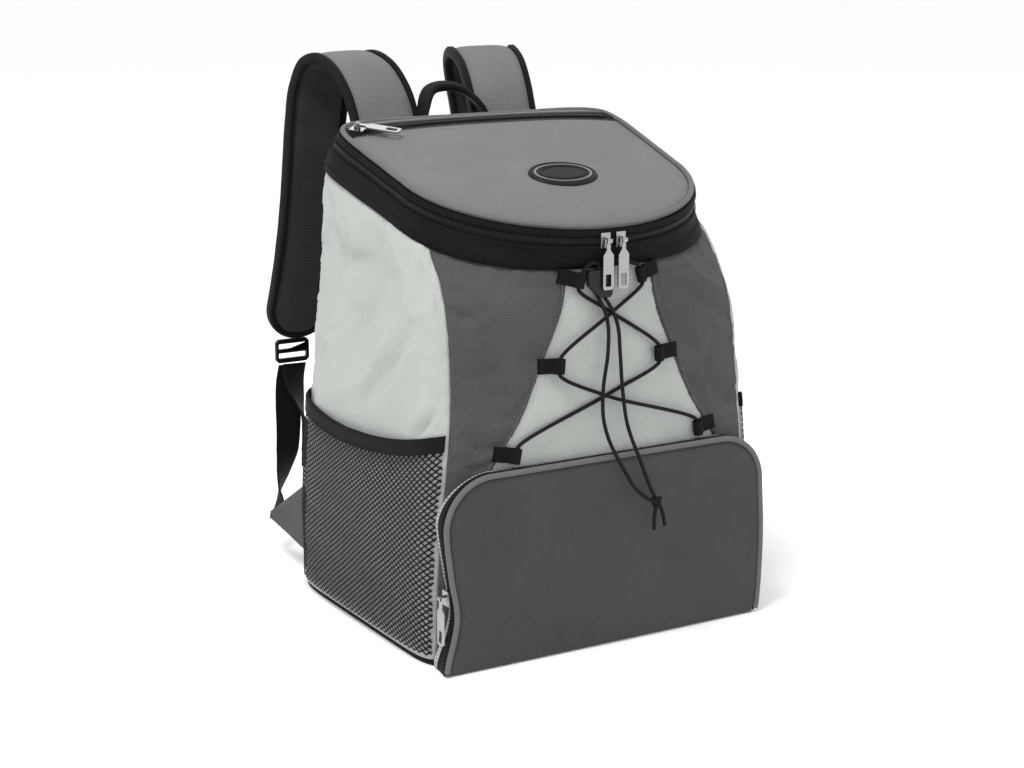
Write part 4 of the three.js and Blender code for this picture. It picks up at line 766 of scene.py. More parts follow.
def makeSides():
    for name, side in (("left", -1), ("right", 1)):
        seams = [lambda up: -rearSeam(up), lambda up: -frontSeam(up)] if side < 0 else [frontSeam, rearSeam]
        grid, left, right = wallGrid(*seams, 96, lambda l, r, z: seamed(np.minimum(l, r)))
        behind = right if side < 0 else left
        z = grid[..., 2]
        height = folds(behind, z, sideFolds[name]) + 0.7 * ripple(behind, z, 46, 3, side) + 0.16 * ripple(behind, z, 9, 2, side)
        height = height * fadeEdges(left, right, len(grid))
        # Behind the net the panel may swell less than the net stands out
        limit = mix(walls["netSwell"], walls["swell"], smooth(165, 205, z))[..., None]
        wallShapes["side_" + name] = finishWall("side_panel_" + name, grid, height, finish["lightCloth"], limit=limit)

        seams = [lambda up: -frontSeam(up), lambda up: -centreSeam(up)] if side < 0 else [centreSeam, frontSeam]

        def wingOut(l, r, z):
            outer, hem = (l, r) if side < 0 else (r, l)
            edge = walls["hem"] * np.sqrt(np.clip(1 - (1 - np.clip(hem / 1.6, 0, 1)) ** 2, 0, 1)) * np.exp(-np.maximum(hem - 4, 0) / 9)
            return edge - 0.45 * bump(hem, 4.6, 1.1) + seamed(outer) * (1 - np.exp(-hem / 30)) - 0.3 * np.exp(-hem / 0.7)

        grid, left, right = wallGrid(*seams, 64, wingOut)
        outside = left if side < 0 else right
        z = grid[..., 2]
        height = folds(left, z, wingFolds[name]) + 0.45 * ripple(left, z, 38, 3, side + 4) + 0.12 * ripple(left, z, 8, 2, side)
        height = height * fadeEdges(left, right, len(grid), 5.0)
        wallShapes["wing_" + name] = finishWall("front_wing_" + name, grid, height, finish["darkCloth"], 4.0,
                                                 walls["wingSwell"])
    grid, left, right = wallGrid(lambda up: -centreSeam(up), centreSeam, 110,
                                 lambda l, r, z: -0.7 + 1.1 * (1 - np.exp(-np.minimum(l, r) / 14)), lap=(3.0, 3.0))
    x, z = grid[..., 0], grid[..., 2]
    height = 0.6 * ripple(x, z, 34, 3, 2.0) + 0.5 * np.cos(x / 6.5 + 0.4 * ripple(x, z, 60, 2)) * bump(z, 168, 34)
    height += folds(x, z, [([(-18, 300), (-10, 285), (-14, 262)], 6, -1.0), ([(20, 300), (16, 280), (24, 256)], 6, 0.9),
                           ([(-52, 225), (-30, 214), (-8, 210)], 8, -0.9), ([(30, 212), (52, 204), (74, 190)], 8, 0.9)])
    height = height * fadeEdges(left, right, len(grid))
    wallShapes["centre"] = finishWall("front_centre_panel", grid, height, finish["lightCloth"], limit=walls["lacingSwell"])


def makeBack():
    # The back goes round the rear middle: a place across runs from -1 at the left seam to 1 at the right one
    up = np.linspace(0, walls["top"], walls["rows"])
    across = np.linspace(-1, 1, 120)
    seam = rearSeam(up)[:, None]
    share = np.sign(across + 1e-9) * mix(1.0, seam, np.abs(across)[None, :])
    total = np.interp(up, upTable, outlineTotal)[:, None]
    distance = (1 - np.abs(across)) * (1 - seam) * total
    up = np.broadcast_to(up[:, None], share.shape)
    rise = np.linspace(0, 1, len(up))[:, None]
    crown = 3.0 * np.cos(across * math.pi / 2) ** 0.8 * np.sin(math.pi * rise) ** 0.6
    grid = onBag(up, share, seamed(distance) + crown)[:, ::-1]
    x, z = grid[..., 0], grid[..., 2]
    height = (0.8 * ripple(x, z, 60, 3, 9.0)
              + folds(x, z, [([(-90, 90), (-20, 70), (60, 84)], 12, -1.6), ([(-60, 200), (10, 188), (90, 204)], 14, -1.4)]))
    height = height * (1 - np.exp(-distance[:, ::-1] / 8)) * smooth(0, 0.03, rise) * smooth(0, 0.03, 1 - rise)
    wallShapes["back"] = finishWall("back_panel", grid, height, finish["innerCloth"], walls["backThickness"])


makeSides()
makeBack()
print("walls made")


# Rows of stitches: short thread lozenges along a line that lies on a surface
stitch = {"length": 2.5, "pitch": 3.3, "radius": 0.32}


def stitchRow(points, normals, pitch=None, length=None, radius=None, lift=0.1):
    pitch, length, radius = pitch or stitch["pitch"], length or stitch["length"], radius or stitch["radius"]
    steps = np.concatenate([[0], np.cumsum(np.linalg.norm(np.diff(points, axis=0), axis=1))])
    count = max(int(steps[-1] / pitch), 1)
    at = (np.arange(count) + 0.5) * pitch
    take = lambda values: np.stack([np.interp(at, steps, values[:, c]) for c in range(3)], -1)
    middle, up = take(points), take(normals)
    tangent = take(np.gradient(points, axis=0))
    tangent /= np.linalg.norm(tangent, axis=1, keepdims=True)
    up /= np.linalg.norm(up, axis=1, keepdims=True)
    side = np.cross(tangent, up)
    # Three rings of four and two tips, in shares of half the length and of the radius
    rings = [(-0.8, 0.8, -0.2), (0.0, 1.1, 0.5), (0.8, 0.8, -0.2)]
    corners = []
    for place, wide, high in rings:
        for a, b in ((1, 0), (0, 1), (-1, 0), (0, -1)):
            corners.append(middle + tangent * place * length / 2 + side * a * wide * radius + up * ((b * wide + high) * radius + lift))
    for place in (-1, 1):
        corners.append(middle + tangent * place * length / 2 - up * (radius * 0.8 - lift))
    vertices = np.stack(corners, 1)
    faces = []
    for r in (0, 1):
        for c in range(4):
            d = (c + 1) % 4
            faces.append((r * 4 + c, r * 4 + 4 + c, r * 4 + 4 + d, r * 4 + d))
    for c in range(4):
        d = (c + 1) % 4
        faces += [(12, c, d, d), (13, 8 + d, 8 + c, 8 + c)]
    return vertices, np.array(faces)


def stitchPiece(name, rows, material, rides="bag"):
    vertices, faces, start = [], [], 0
    for v, f in rows:
        count = v.shape[1]
        for_all = (f[None] + (np.arange(len(v)) * count)[:, None, None]).reshape(-1, 4) + start
        vertices.append(v.reshape(-1, 3))
        faces.append(for_all)
        start += v.shape[0] * count
    vertices, faces = np.concatenate(vertices), np.concatenate(faces)
    return makeFrom(name, vertices, faces, np.zeros((len(vertices), 2)), material, rides)


def rowOnGrid(grid, places):
    # Points and normals of a grid at fractional (row, column) places
    normal = gridNormals(grid)
    rows = np.clip(places[:, 0], 0, grid.shape[0] - 1.001)
    columns = np.clip(places[:, 1], 0, grid.shape[1] - 1.001)
    i, j = rows.astype(int), columns.astype(int)
    s, t = (rows - i)[:, None], (columns - j)[:, None]
    pick = lambda g: (1 - s) * ((1 - t) * g[i, j] + t * g[i, j + 1]) + s * ((1 - t) * g[i + 1, j] + t * g[i + 1, j + 1])
    return pick(grid), pick(normal)


def besideSeam(grid, distance, fromLeft, low=0.0, high=1.0):
    # A line that keeps its distance from one side edge of a grid
    rows = np.arange(grid.shape[0])
    rows = rows[(rows >= low * (len(rows) - 1)) & (rows <= high * (len(rows) - 1))]
    lengths = np.concatenate([np.zeros((grid.shape[0], 1)), np.cumsum(np.linalg.norm(np.diff(grid, axis=1), axis=2), axis=1)], 1)
    columns = []
    for r in rows:
        line = lengths[r] if fromLeft else lengths[r][-1] - lengths[r][::-1]
        c = np.interp(distance, line, np.arange(len(line)))
        columns.append(c if fromLeft else len(line) - 1 - c)
    return rowOnGrid(grid, np.stack([rows, np.array(columns)], -1))


stitchPiece("wing_topstitching", [
    stitchRow(*besideSeam(wallShapes["wing_left"], 4.4, False, 0.3, 0.985)),
    stitchRow(*besideSeam(wallShapes["wing_right"], 4.4, True, 0.3, 0.985)),
], finish["thread"])

# Lid band: a black lower band, the zip tape with its teeth, and a narrow upper band
band = {"foot": 0.985, "lowerTop": 1.5, "zipLow": 1.47, "zipHigh": 1.83, "upperLow": 1.78, "upperTop": 1.96, "columns": 420,
        "hinge": 0.17, "teethPitch": 1.55, "teethWidth": 4.2}


def hoopPiece(name, profile, material, wave=None, span=(-1.0, 1.0), flat=False):
    # A closed profile of (height share, distance out) carried round the bag
    closed = span == (-1.0, 1.0)
    columns = band["columns"]
    share = np.linspace(*span, columns, endpoint=not closed)
    up, out = (np.array([p[c] for p in profile], float) for c in (0, 1))
    up, out = np.broadcast_arrays(up[None, :], out[None, :])
    out = out + (wave(share)[:, None] * (out > 0.3) if wave is not None else 0)
    ring = onBag(up, share[:, None] * np.ones_like(up), out)
    quads = gridFaces(columns, len(profile), wrapRows=closed, wrapColumns=True)
    middle = ring.mean(1)
    length = np.concatenate([[0], np.cumsum(np.linalg.norm(np.diff(middle, axis=0), axis=1))])
    around = np.concatenate([[0], np.cumsum(np.linalg.norm(np.diff(ring[0], axis=0), axis=1))])
    uv = np.stack(np.broadcast_arrays(length[:, None], around[None, :]), -1) * mm
    vertices, uvs = ring.reshape(-1, 3), uv.reshape(-1, 2)
    if not closed:
        first, last, sides = len(vertices), len(vertices) + 1, len(profile)
        vertices = np.concatenate([vertices, ring[[0, -1]].mean(1)])
        uvs = np.concatenate([uvs, uvs[[0, -1]]])
        j = np.arange(sides)
        k = (j + 1) % sides
        base = (columns - 1) * sides
        quads = np.concatenate([quads, np.stack([np.full(sides, first), j, k, k], -1), np.stack([np.full(sides, last), base + k, base + j, base + j], -1)])
    return makeFrom(name, vertices, quads, uvs, material, "bag")


def hoopLine(up, out, span, count=900):
    share = np.linspace(*span, count)
    points = onBag(np.full(count, up), share, np.full(count, out))
    return points, points - onBag(np.full(count, up), share, np.full(count, out - 1.0))


def bandWave(share):
    return 0.35 * ripple(share * 9, np.zeros_like(share), 1.0, 3) + 0.12 * np.cos(share * 70)


def hoopProfile(low, high, out, thick, rows=8, belly=0.4):
    t = np.linspace(0, 1, rows)
    edge = 0.55 * (np.exp(-t * 14) + np.exp(-(1 - t) * 14))
    outer = [(mix(low, high, a), out + belly * math.sin(math.pi * a) - 0.0 * e) for a, e in zip(t, edge)]
    return outer + [(high, out - thick), (low, out - thick)]


def teethRow(points, normals, pitch, width, height=0.95, thick=0.62, lift=0.0):
    # Coil teeth: short bars across the line, every other one moved to its side
    steps = np.concatenate([[0], np.cumsum(np.linalg.norm(np.diff(points, axis=0), axis=1))])
    count = int(steps[-1] / pitch)
    at = (np.arange(count) + 0.5) * pitch
    take = lambda values: np.stack([np.interp(at, steps, values[:, c]) for c in range(3)], -1)
    middle, up, tangent = take(points), take(normals), take(np.gradient(points, axis=0))
    tangent /= np.linalg.norm(tangent, axis=1, keepdims=True)
    up -= tangent * (up * tangent).sum(1, keepdims=True)
    up /= np.linalg.norm(up, axis=1, keepdims=True)
    side = np.cross(tangent, up)
    middle = middle + side * (np.where(np.arange(count) % 2, 0.35, -0.35) * 1.0)[:, None]
    corners = []
    for a in (-1, -0.72, 0.72, 1):
        tall = height if abs(a) < 0.9 else height * 0.45
        for b, h in ((-1, 0), (-0.7, 1), (0.7, 1), (1, 0)):
            corners.append(middle + side * a * width / 2 + tangent * b * thick / 2 + up * (h * tall + lift))
    faces = []
    for r in range(3):
        for c in range(4):
            d = (c + 1) % 4
            faces.append((r * 4 + c, r * 4 + 4 + c, r * 4 + 4 + d, r * 4 + d))
    faces += [(0, 1, 2, 3), (15, 14, 13, 12)]
    return np.stack(corners, 1), np.array(faces)


def makeBand():
    lower = hoopPiece("lower_band", hoopProfile(band["foot"], band["lowerTop"], 1.3, 3.6), finish["blackCloth"], bandWave)
    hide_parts("lower_band")
    upper = hoopPiece("upper_band", hoopProfile(band["upperLow"], band["upperTop"], 1.2, 3.4, 6, 0.2), finish["blackCloth"])
    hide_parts("upper_band")
    span = (-1 + band["hinge"], 1 - band["hinge"])
    profile = [(band["zipLow"], 0.5), (1.56, 0.1), (1.62, -0.1), (1.65, 0.0), (1.68, -0.1), (1.75, 0.1), (band["zipHigh"], 0.5),
               (band["zipHigh"], -1.9), (band["zipLow"], -1.9)]
    zipTape = hoopPiece("lid_zip", profile, finish["zipTape"], span=span)
    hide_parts("lid_zip")
    half = band["hinge"]
    share = np.concatenate([np.linspace(1 - half, 1, 30), np.linspace(-1, -1 + half, 30)[1:]])
    up = np.linspace(band["zipLow"], band["zipHigh"], 8)[:, None]
    outer = onBag(up, share[None, :], 0.5 - 0.5 * np.sin(math.pi * np.linspace(0, 1, 8))[:, None])
    hinge = slabPiece("lid_hinge_cloth", outer, outer - gridNormals(outer) * 1.8, finish["blackCloth"])
    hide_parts("lid_hinge_cloth")
    teeth = teethRow(*hoopLine(1.65, 0.0, span), band["teethPitch"], band["teethWidth"])
    stitchPiece("lid_zip_teeth", [teeth], finish["teeth"])
    stitchPiece("band_stitching", [
        stitchRow(*hoopLine(1.43, 1.45, (-1.0, 1.0)), pitch=3.0), stitchRow(*hoopLine(1.03, 1.4, (-1.0, 1.0)), pitch=3.0),
        stitchRow(*hoopLine(1.84, 1.35, (-1.0, 1.0)), pitch=3.0),
    ], finish["darkThread"])


makeBand()
print("lid band made")


# Flat-edged pads: rings shrink from a closed edge loop to its middle, and the height follows the place and the
# distance from the edge
def discPiece(name, loop, rings, upper, lower, material):
    middle = loop.mean(0)
    r = 1 - np.linspace(0, 1, rings, endpoint=False) ** 1.25
    place = middle + (loop[None] - middle) * r[:, None, None]
    place = np.concatenate([place, (middle + (loop[None] - middle) * 0.004)])
    distance = edgeDistance(place, loop)
    top, low = upper(place, distance), lower(place, distance)
    rows, columns = top.shape[:2]
    count = rows * columns
    quads = gridFaces(rows, columns, wrapColumns=True)
    j = np.arange(columns)
    k = (j + 1) % columns
    inner = (rows - 1) * columns
    rim = np.stack([j, k, k + count, j + count], -1)
    caps = [np.stack([np.full(columns, 2 * count + side), side * count + inner + j, side * count + inner + k,
                      side * count + inner + k], -1) for side in (0, 1)]
    vertices = np.concatenate([top.reshape(-1, 3), low.reshape(-1, 3), top[-1].mean(0, keepdims=True), low[-1].mean(0, keepdims=True)])
    flat = np.concatenate([place.reshape(-1, 2)] * 2 + [middle[None]] * 2) * mm
    return makeFrom(name, vertices, np.concatenate([quads, quads + count, rim, *caps]), flat, material, "bag")


def edgeDistance(place, loop):
    a, b = loop, np.roll(loop, -1, axis=0)
    span = b - a
    points = place.reshape(-1, 2)
    result = np.full(len(points), 1e9)
    for part in range(0, len(points), 4000):
        p = points[part:part + 4000, None] - a[None]
        t = np.clip((p * span).sum(-1) / np.maximum((span * span).sum(-1), 1e-9), 0, 1)
        result[part:part + 4000] = np.linalg.norm(p - span * t[..., None], axis=-1).min(1)
    return result.reshape(place.shape[:-1])


# Lid: a crowned pad with its zip across the rear, a narrow rear strip, a piped edge and the oval badge
lid = {
    "thickness": 7.0, "inset": 4.4, "stripDepth": 17.0, "zipWidth": 10.0, "pipingRadius": 2.3, "gap": 0.3,
    "badgeLength": 61.0, "badgeWidth": 40.0, "badgeHeight": 3.0, "badgeFromRear": 150.0,
}
zipY = lidRearY - lid["stripDepth"]


def lidRim(inset, count=721):
    share = np.linspace(-1, 1, count)
    return onBag(np.full(count, 2.0), share, np.full(count, -float(inset)))


def lidHalf(y, inset=0.0):
    line = lidRim(inset)[360:]
    order = np.maximum.accumulate(line[:, 1])
    return np.interp(y, order, line[:, 0]) - bag["lidLean"]


lidBack = float(fromTable(outlineY, 2.0, 1.0))
lidHalfTable = (np.linspace(lidFrontY - 1, lidBack + 1, 800), None)
lidHalfValues = lidHalf(lidHalfTable[0])


def lidTop(x, y):
    half = np.maximum(np.interp(y, lidHalfTable[0], lidHalfValues), 1)
    across = np.minimum(np.abs(x - bag["lidLean"]) / half, 1)
    forward = np.minimum(np.abs(2 * (y - lidFrontY) / (lidBack - lidFrontY) - 1), 1)
    return lidPlane(y) + bag["lidDome"] * (1 - across**2.6) * (1 - forward**3)


def lidLoop(inset, startY, endY, count=420):
    # The part of the rim between two levels of y, closed by straight edges across
    line = lidRim(inset, 2881)
    y = np.clip(line[:, 1], startY, endY)
    keep = np.stack([line[:, 0], y], -1)
    keep = keep[np.concatenate([[True], np.linalg.norm(np.diff(keep, axis=0), axis=1) > 1e-6])]
    closed = np.concatenate([keep, keep[:1]])
    length = np.concatenate([[0], np.cumsum(np.linalg.norm(np.diff(closed, axis=0), axis=1))])
    at = np.linspace(0, length[-1], count, endpoint=False)
    return np.stack([np.interp(at, length, closed[:, c]) for c in (0, 1)], -1)


def lidSurface(offset, dip, wave):
    def surface(place, distance):
        x, y = place[..., 0], place[..., 1]
        z = lidTop(x, y) + offset - dip * np.exp(-distance / 2.2) + 0.8 * (1 - np.exp(-distance / 9))
        z = z + wave * ripple(x, y, 52, 3, 3.3) * (1 - np.exp(-distance / 10))
        return np.stack([x, y, z], -1)
    return surface


def makeLid():
    panelEnd = zipY - lid["zipWidth"] - 3.5
    loop = lidLoop(lid["inset"], lidFrontY, panelEnd + 0.6)
    upper = lidSurface(0.4, 1.3, 0.55)

    def panelTop(place, distance):
        points = upper(place, distance)
        rear = panelEnd + 0.6 - place[..., 1]
        points[..., 2] += 0.2 * np.exp(-rear / 5.0) - 0.5 * bump(rear, 3.2, 0.9) - 0.8 * np.exp(-rear / 0.5)
        return points

    # The lid panel and rear strip take the lid cloth with its painted top light and sheen
    panel = discPiece("lid_panel", loop, 70, panelTop, lambda place, d: upper(place, d) - [0, 0, lid["thickness"]], finish["lidClothPaintedLight"])
    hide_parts("lid_panel")
    strip = discPiece("lid_rear_strip", lidLoop(lid["inset"], zipY - 0.6, lidBack - 0.5), 14, lidSurface(2.3, 1.2, 0.2),
                      lambda place, d: lidSurface(2.3, 1.2, 0.2)(place, d) - [0, 0, lid["thickness"] + 2], finish["lidClothPaintedLight"])
    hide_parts("lid_rear_strip")

    y = np.linspace(panelEnd - 1.5, zipY + 1.5, 12)[:, None]
    half = lidHalf(y, lid["inset"] + 0.2)
    x = bag["lidLean"] + half * np.linspace(-1, 1, 160)[None]
    rise = 0.1 + 2.0 * smooth(panelEnd - 1.5, zipY + 1.5, y) + 0.5 * bump(y, (panelEnd + zipY) / 2, 1.3)
    outer = np.stack([x, np.broadcast_to(y, x.shape), lidTop(x, y) + rise], -1)
    tape = slabPiece("lid_pocket_zip", outer, outer - [0, 0, 2.2], finish["zipTape"])
    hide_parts("lid_pocket_zip")
    middleY = (panelEnd + zipY) / 2
    lineX = bag["lidLean"] + lidHalf(middleY, lid["inset"] + 6) * np.linspace(-1, 1, 500)
    line = np.stack([lineX, np.full(500, middleY), lidTop(lineX, middleY) + 1.5], -1)
    rows = [teethRow(line, np.tile([0.0, -0.2, 1.0], (500, 1)), 1.4, 3.4, 0.8, 0.55)]
    stitchPiece("lid_pocket_zip_teeth", rows, finish["teeth"])

    share = np.linspace(-1, 1, 640, endpoint=False)
    at = onBag(np.full(640, 2.0), share, np.full(640, -lid["pipingRadius"]))
    at[:, 2] = lidPlane(at[:, 1]) + lid["pipingRadius"] * 0.55 + 0.12 * ripple(share * 40, 0 * share, 1.0, 2)
    flat = onBag(np.full(640, 2.0), share, np.ones(640)) - onBag(np.full(640, 2.0), share, np.zeros(640))
    flat[:, 2] = 0
    flat /= np.linalg.norm(flat, axis=1, keepdims=True)
    piping = sweepPiece("lid_piping", at, flat, np.tile([0.0, 0.0, 1.0], (640, 1)),
                        roundProfile(2 * lid["pipingRadius"], 2 * lid["pipingRadius"], 14), finish["pipingCloth"], closed=True)
    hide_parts("lid_piping")

    edge = lambda inset: np.array([p for p in lidLoopPoints(inset, panelEnd - 1)])
    line = edge(lid["inset"] + 1.6)
    rows = [stitchRow(line, np.tile([0.0, -0.25, 1.0], (len(line), 1)), lift=-0.05)]
    for y0, z0 in ((panelEnd - 2.6, 0.85), (zipY + 2.4, 2.5)):
        lineX = bag["lidLean"] + lidHalf(y0, lid["inset"] + 3) * np.linspace(-1, 1, 400)
        line = np.stack([lineX, np.full(400, y0), lidTop(lineX, y0) + z0], -1)
        rows.append(stitchRow(line, np.tile([0.0, -0.2, 1.0], (400, 1))))
    stitchPiece("lid_stitching", rows, finish["thread"])


def lidLoopPoints(inset, endY):
    line = lidRim(inset, 1441)
    line = line[line[:, 1] < endY]
    line[:, 2] = lidTop(line[:, 0], line[:, 1]) + 0.4 - 0.75
    return line


def makeBadge():
    turns = np.linspace(0, 2 * math.pi, 160, endpoint=False)
    centreY = lidRearY - lid["badgeFromRear"]
    loop = np.stack([bag["lidLean"] + lid["badgeLength"] / 2 * np.cos(turns), centreY + lid["badgeWidth"] / 2 * np.sin(turns)], -1)

    def face(place, distance):
        x, y = place[..., 0], place[..., 1]
        h = lid["badgeHeight"] * (1 - 0.75 * np.exp(-distance / 0.7)) - 0.7 * smooth(2.2, 2.8, distance) + 0.25 * smooth(6.5, 12, distance)
        return np.stack([x, y, lidTop(x, y) + 0.7 + h], -1)

    badge = discPiece("lid_badge", loop, 60, face, lambda place, d: np.concatenate([place, (lidTop(place[..., 0], place[..., 1]) + 0.2)[..., None]], -1),
                      finish["rubber"])
    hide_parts("lid_badge")
    for name, scale, width in (("badge_ring", 0.82, 2.0), ("badge_inner_ring", 0.70, 0.9)):
        x = bag["lidLean"] + (lid["badgeLength"] / 2 - (1 - scale) * 31) * np.cos(turns)
        y = centreY + (lid["badgeWidth"] / 2 - (1 - scale) * 31) * np.sin(turns)
        at = np.stack([x, y, lidTop(x, y) + 0.7 + lid["badgeHeight"] - 0.55], -1)
        flat = np.stack([np.cos(turns) * lid["badgeWidth"], np.sin(turns) * lid["badgeLength"], 0 * turns], -1)
        flat /= np.linalg.norm(flat, axis=1, keepdims=True)
        sweepPiece(name, at, flat, np.tile([0.0, 0.0, 1.0], (160, 1)), roundProfile(width, 1.1, 8, 3),
                   finish["badgeRing" if width > 1 else "rubber"], closed=True)


makeLid()
makeBadge()
print("lid made")

# Front pocket: a crowned face with a piped edge, a zip behind the piping and a light gusset behind the zip
pocket = {
    "width": 302.0, "height": 158.0, "depth": 18.0, "corner": 42.0, "crown": 3.0, "pipingRadius": 2.3, "faceThickness": 3.0,
    "root": 0.972, "foot": 1.2, "zipEnd": 0.70, "cloth": 2.0,
}
pocketFaceY = frontY - pocket["depth"]


def pocketHalf(side, z):
    straight = along(pocketSides, side, z / pocket["height"]) * pocket["width"] / 2
    over = np.clip(z - (pocket["height"] - pocket["corner"]), 0, pocket["corner"])
    return straight - pocket["corner"] + np.sqrt(np.maximum(pocket["corner"] ** 2 - over**2, 0))


def pocketOutline(inset, foot, count=600):
    low = pocket["height"] - pocket["corner"]
    turn = np.linspace(0, math.pi / 2, 60)
    sides = []
    for side in (1, 2):
        z = np.linspace(foot, low, 120, endpoint=False)
        straight = np.stack([pocketHalf(side, z) - inset, 0 * z, z], -1)
        centre = float(pocketHalf(side, np.array(low))) - pocket["corner"]
        radius = pocket["corner"] - inset
        arc = np.stack([centre + radius * np.cos(turn), 0 * turn, low + radius * np.sin(turn)], -1)
        sides.append(np.concatenate([straight, arc]))
    left, right = sides[0] * [-1, 1, 1], sides[1][::-1]
    return evenSteps(np.concatenate([left, right]), count)


def pocketY(x, z):
    across = np.minimum(np.abs(2 * x / pocket["width"]), 1)
    rise = np.clip(z / pocket["height"], 0, 1)
    return pocketFaceY - pocket["crown"] * (1 - across**4) * np.sin(math.pi * rise**0.8)


def pocketNormals(line):
    tangent = np.gradient(line, axis=0)
    flat = np.stack([-tangent[:, 2], 0 * tangent[:, 0], tangent[:, 0]], -1)
    return flat / np.linalg.norm(flat, axis=1, keepdims=True)


def makePocket():
    inset = 2 * pocket["pipingRadius"] + 0.1
    line = pocketOutline(inset, pocket["foot"], 380)
    loop = line[:, [0, 2]]
    below = np.stack([np.linspace(loop[-1, 0], loop[0, 0], 150)[1:-1], np.full(148, pocket["foot"])], -1)
    loop = np.concatenate([loop, below])
    creases = [
        ([(-120, 128), (-60, 118), (10, 122)], 14, 0.9), ([(-130, 60), (-80, 48), (-20, 52)], 16, -0.9),
        ([(20, 96), (80, 84), (130, 92)], 15, -0.8), ([(-40, 26), (30, 18), (90, 28)], 12, 0.9),
        ([(60, 140), (92, 126), (128, 118)], 10, 0.9), ([(-140, 26), (-100, 16), (-70, 20)], 9, -1.1),
        ([(-142, 100), (-120, 84), (-108, 60)], 10, -0.8), ([(96, 60), (122, 40), (140, 16)], 12, 0.9),
    ]

    def face(place, distance):
        x, z = place[..., 0], place[..., 1]
        wave = 0.7 * ripple(x, z, 66, 3, 6.1) + folds(x, z, creases) + 0.1 * ripple(x, z, 9, 2)
        out = 0.9 * (1 - np.exp(-distance / 10)) - 1.6 * np.exp(-distance / 1.8) + wave * (1 - np.exp(-distance / 12))
        return np.stack([x, pocketY(x, z) - out, z], -1)

    panel = discPiece("pocket_face", loop, 84, face, lambda place, d: face(place, d) + [0, pocket["faceThickness"], 0], finish["pocketCloth"])
    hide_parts("pocket_face")

    radius = pocket["pipingRadius"]
    line = pocketOutline(radius, pocket["foot"] + radius, 620)
    line[:, 1] = pocketY(line[:, 0], line[:, 2]) + radius * 0.5
    piping = sweepPiece("pocket_piping", line, pocketNormals(line), np.tile([0.0, -1.0, 0.0], (620, 1)),
                        roundProfile(2 * radius, 2 * radius, 14), finish["pipingCloth"])
    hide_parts("pocket_piping")

    frames = pocketOutline(pocket["cloth"] / 2 + 0.4, pocket["foot"], 560)
    outward2 = pocketNormals(frames)
    front = pocketY(frames[:, 0], frames[:, 2]) + 1.6 * radius + 0.2
    rear = frontAt(frames[:, 0] * pocket["root"], np.minimum(frames[:, 2], pocket["height"] - pocket["cloth"]), 0.9)[:, 1]

    def strip(depths, out):
        depth, out = np.asarray(depths)[:, None], np.asarray(out)[:, None]
        narrow = mix(1, pocket["root"], depth)
        x = (frames[:, 0] + outward2[:, 0] * out) * narrow
        return np.stack([x, mix(front, rear, depth), frames[:, 2] + outward2[:, 2] * out + 0 * x], -1)

    depths = np.linspace(-0.03, pocket["zipEnd"] + 0.02, 14)
    middle = (depths[0] + depths[-1]) / 2
    out = pocket["cloth"] / 2 - 0.25 - 0.5 * bump(depths, middle, 0.16) + 0.5 * bump(depths, middle, 0.07)
    zipTape = slabPiece("pocket_zip", strip(depths, out)[::-1], strip(depths, out - 1.8)[::-1], finish["zipTape"])
    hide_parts("pocket_zip")
    depths = np.linspace(pocket["zipEnd"] - 0.02, 1.03, 10)
    out = pocket["cloth"] / 2 + 0.5 - 0.9 * smooth(0.9, 1.03, depths)
    gusset = slabPiece("pocket_gusset", strip(depths, out)[::-1], strip(depths, out - 2.2)[::-1], finish["lightCloth"])
    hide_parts("pocket_gusset")
    line = strip([middle], [pocket["cloth"] / 2 - 0.35])[0]
    sel = slice(30, None)
    stitchPiece("pocket_zip_teeth", [teethRow(line[sel], outward2[sel], 1.4, 3.2, 0.85, 0.55)], finish["teeth"])
    rows = []
    for depth, lift in ((0.1, 0.95), (0.62, 0.95), (0.76, 1.5)):
        rows.append(stitchRow(strip([depth], [lift])[0], outward2, lift=0.0))
    stitchPiece("pocket_zip_stitching", rows, finish["darkThread"])


makePocket()
print("pocket made")

# Side pockets: a net of two families of slanting strands over a bulging sheet, held by a binding along its top edge
net = {"foot": 0.012, "bulge": 9.0, "cellWidth": 6.9, "cellHeight": 4.6, "strand": 1.5, "thick": 0.55, "step": 2.0,
       "bindingHeight": 11.0, "bindingThickness": 2.4}


def netPoint(side, k, rise, extra=0.0, above=0.0):
    k, rise = np.broadcast_arrays(np.asarray(k, float), np.asarray(rise, float))
    fromRear = k if side < 0 else 1 - k
    share0 = side * mix(rearSeamAt(0.4) - 0.004, frontSeamAt(0.4) + 0.004, fromRear)
    edge = along(meshEdge, 1, fromRear) * bag["rearHeight"]
    y0 = fromTable(outlineY, 0.5, share0)
    top = (edge - bag["floorThickness"]) / (lidPlane(y0) - bag["bandHeight"] - bag["floorThickness"])
    up = mix(net["foot"], top, rise) + above / 290
    share = side * mix(rearSeamAt(up) - 0.004, frontSeamAt(up) + 0.004, fromRear)
    limited = np.clip(rise, 0, 1)
    bulge = 2 + net["bulge"] * np.maximum(np.sin(math.pi * k), 0) ** 0.8 * np.sin(math.pi * (0.12 + 0.6 * limited)) ** 1.2
    return onBag(up, share, bulge + extra)


seamSteps = np.linspace(0, 1, 201)
frontSeamSteps, rearSeamSteps = frontSeam(seamSteps), rearSeam(seamSteps)


def frontSeamAt(up):
    return np.interp(up, seamSteps, frontSeamSteps)


def rearSeamAt(up):
    return np.interp(up, seamSteps, rearSeamSteps)


def netSag(k, rise, side):  # soft waves in the net, none at its edges
    wave = 1.5 * ripple(k * 5, rise * 3, 1.0, 2, 5 + side) + 1.2 * np.sin(k * 9 + rise * 4 + side)
    return wave * np.clip(np.sin(math.pi * k), 0, 1) ** 0.7 * np.clip(np.sin(math.pi * (0.04 + 0.9 * rise)), 0, 1)


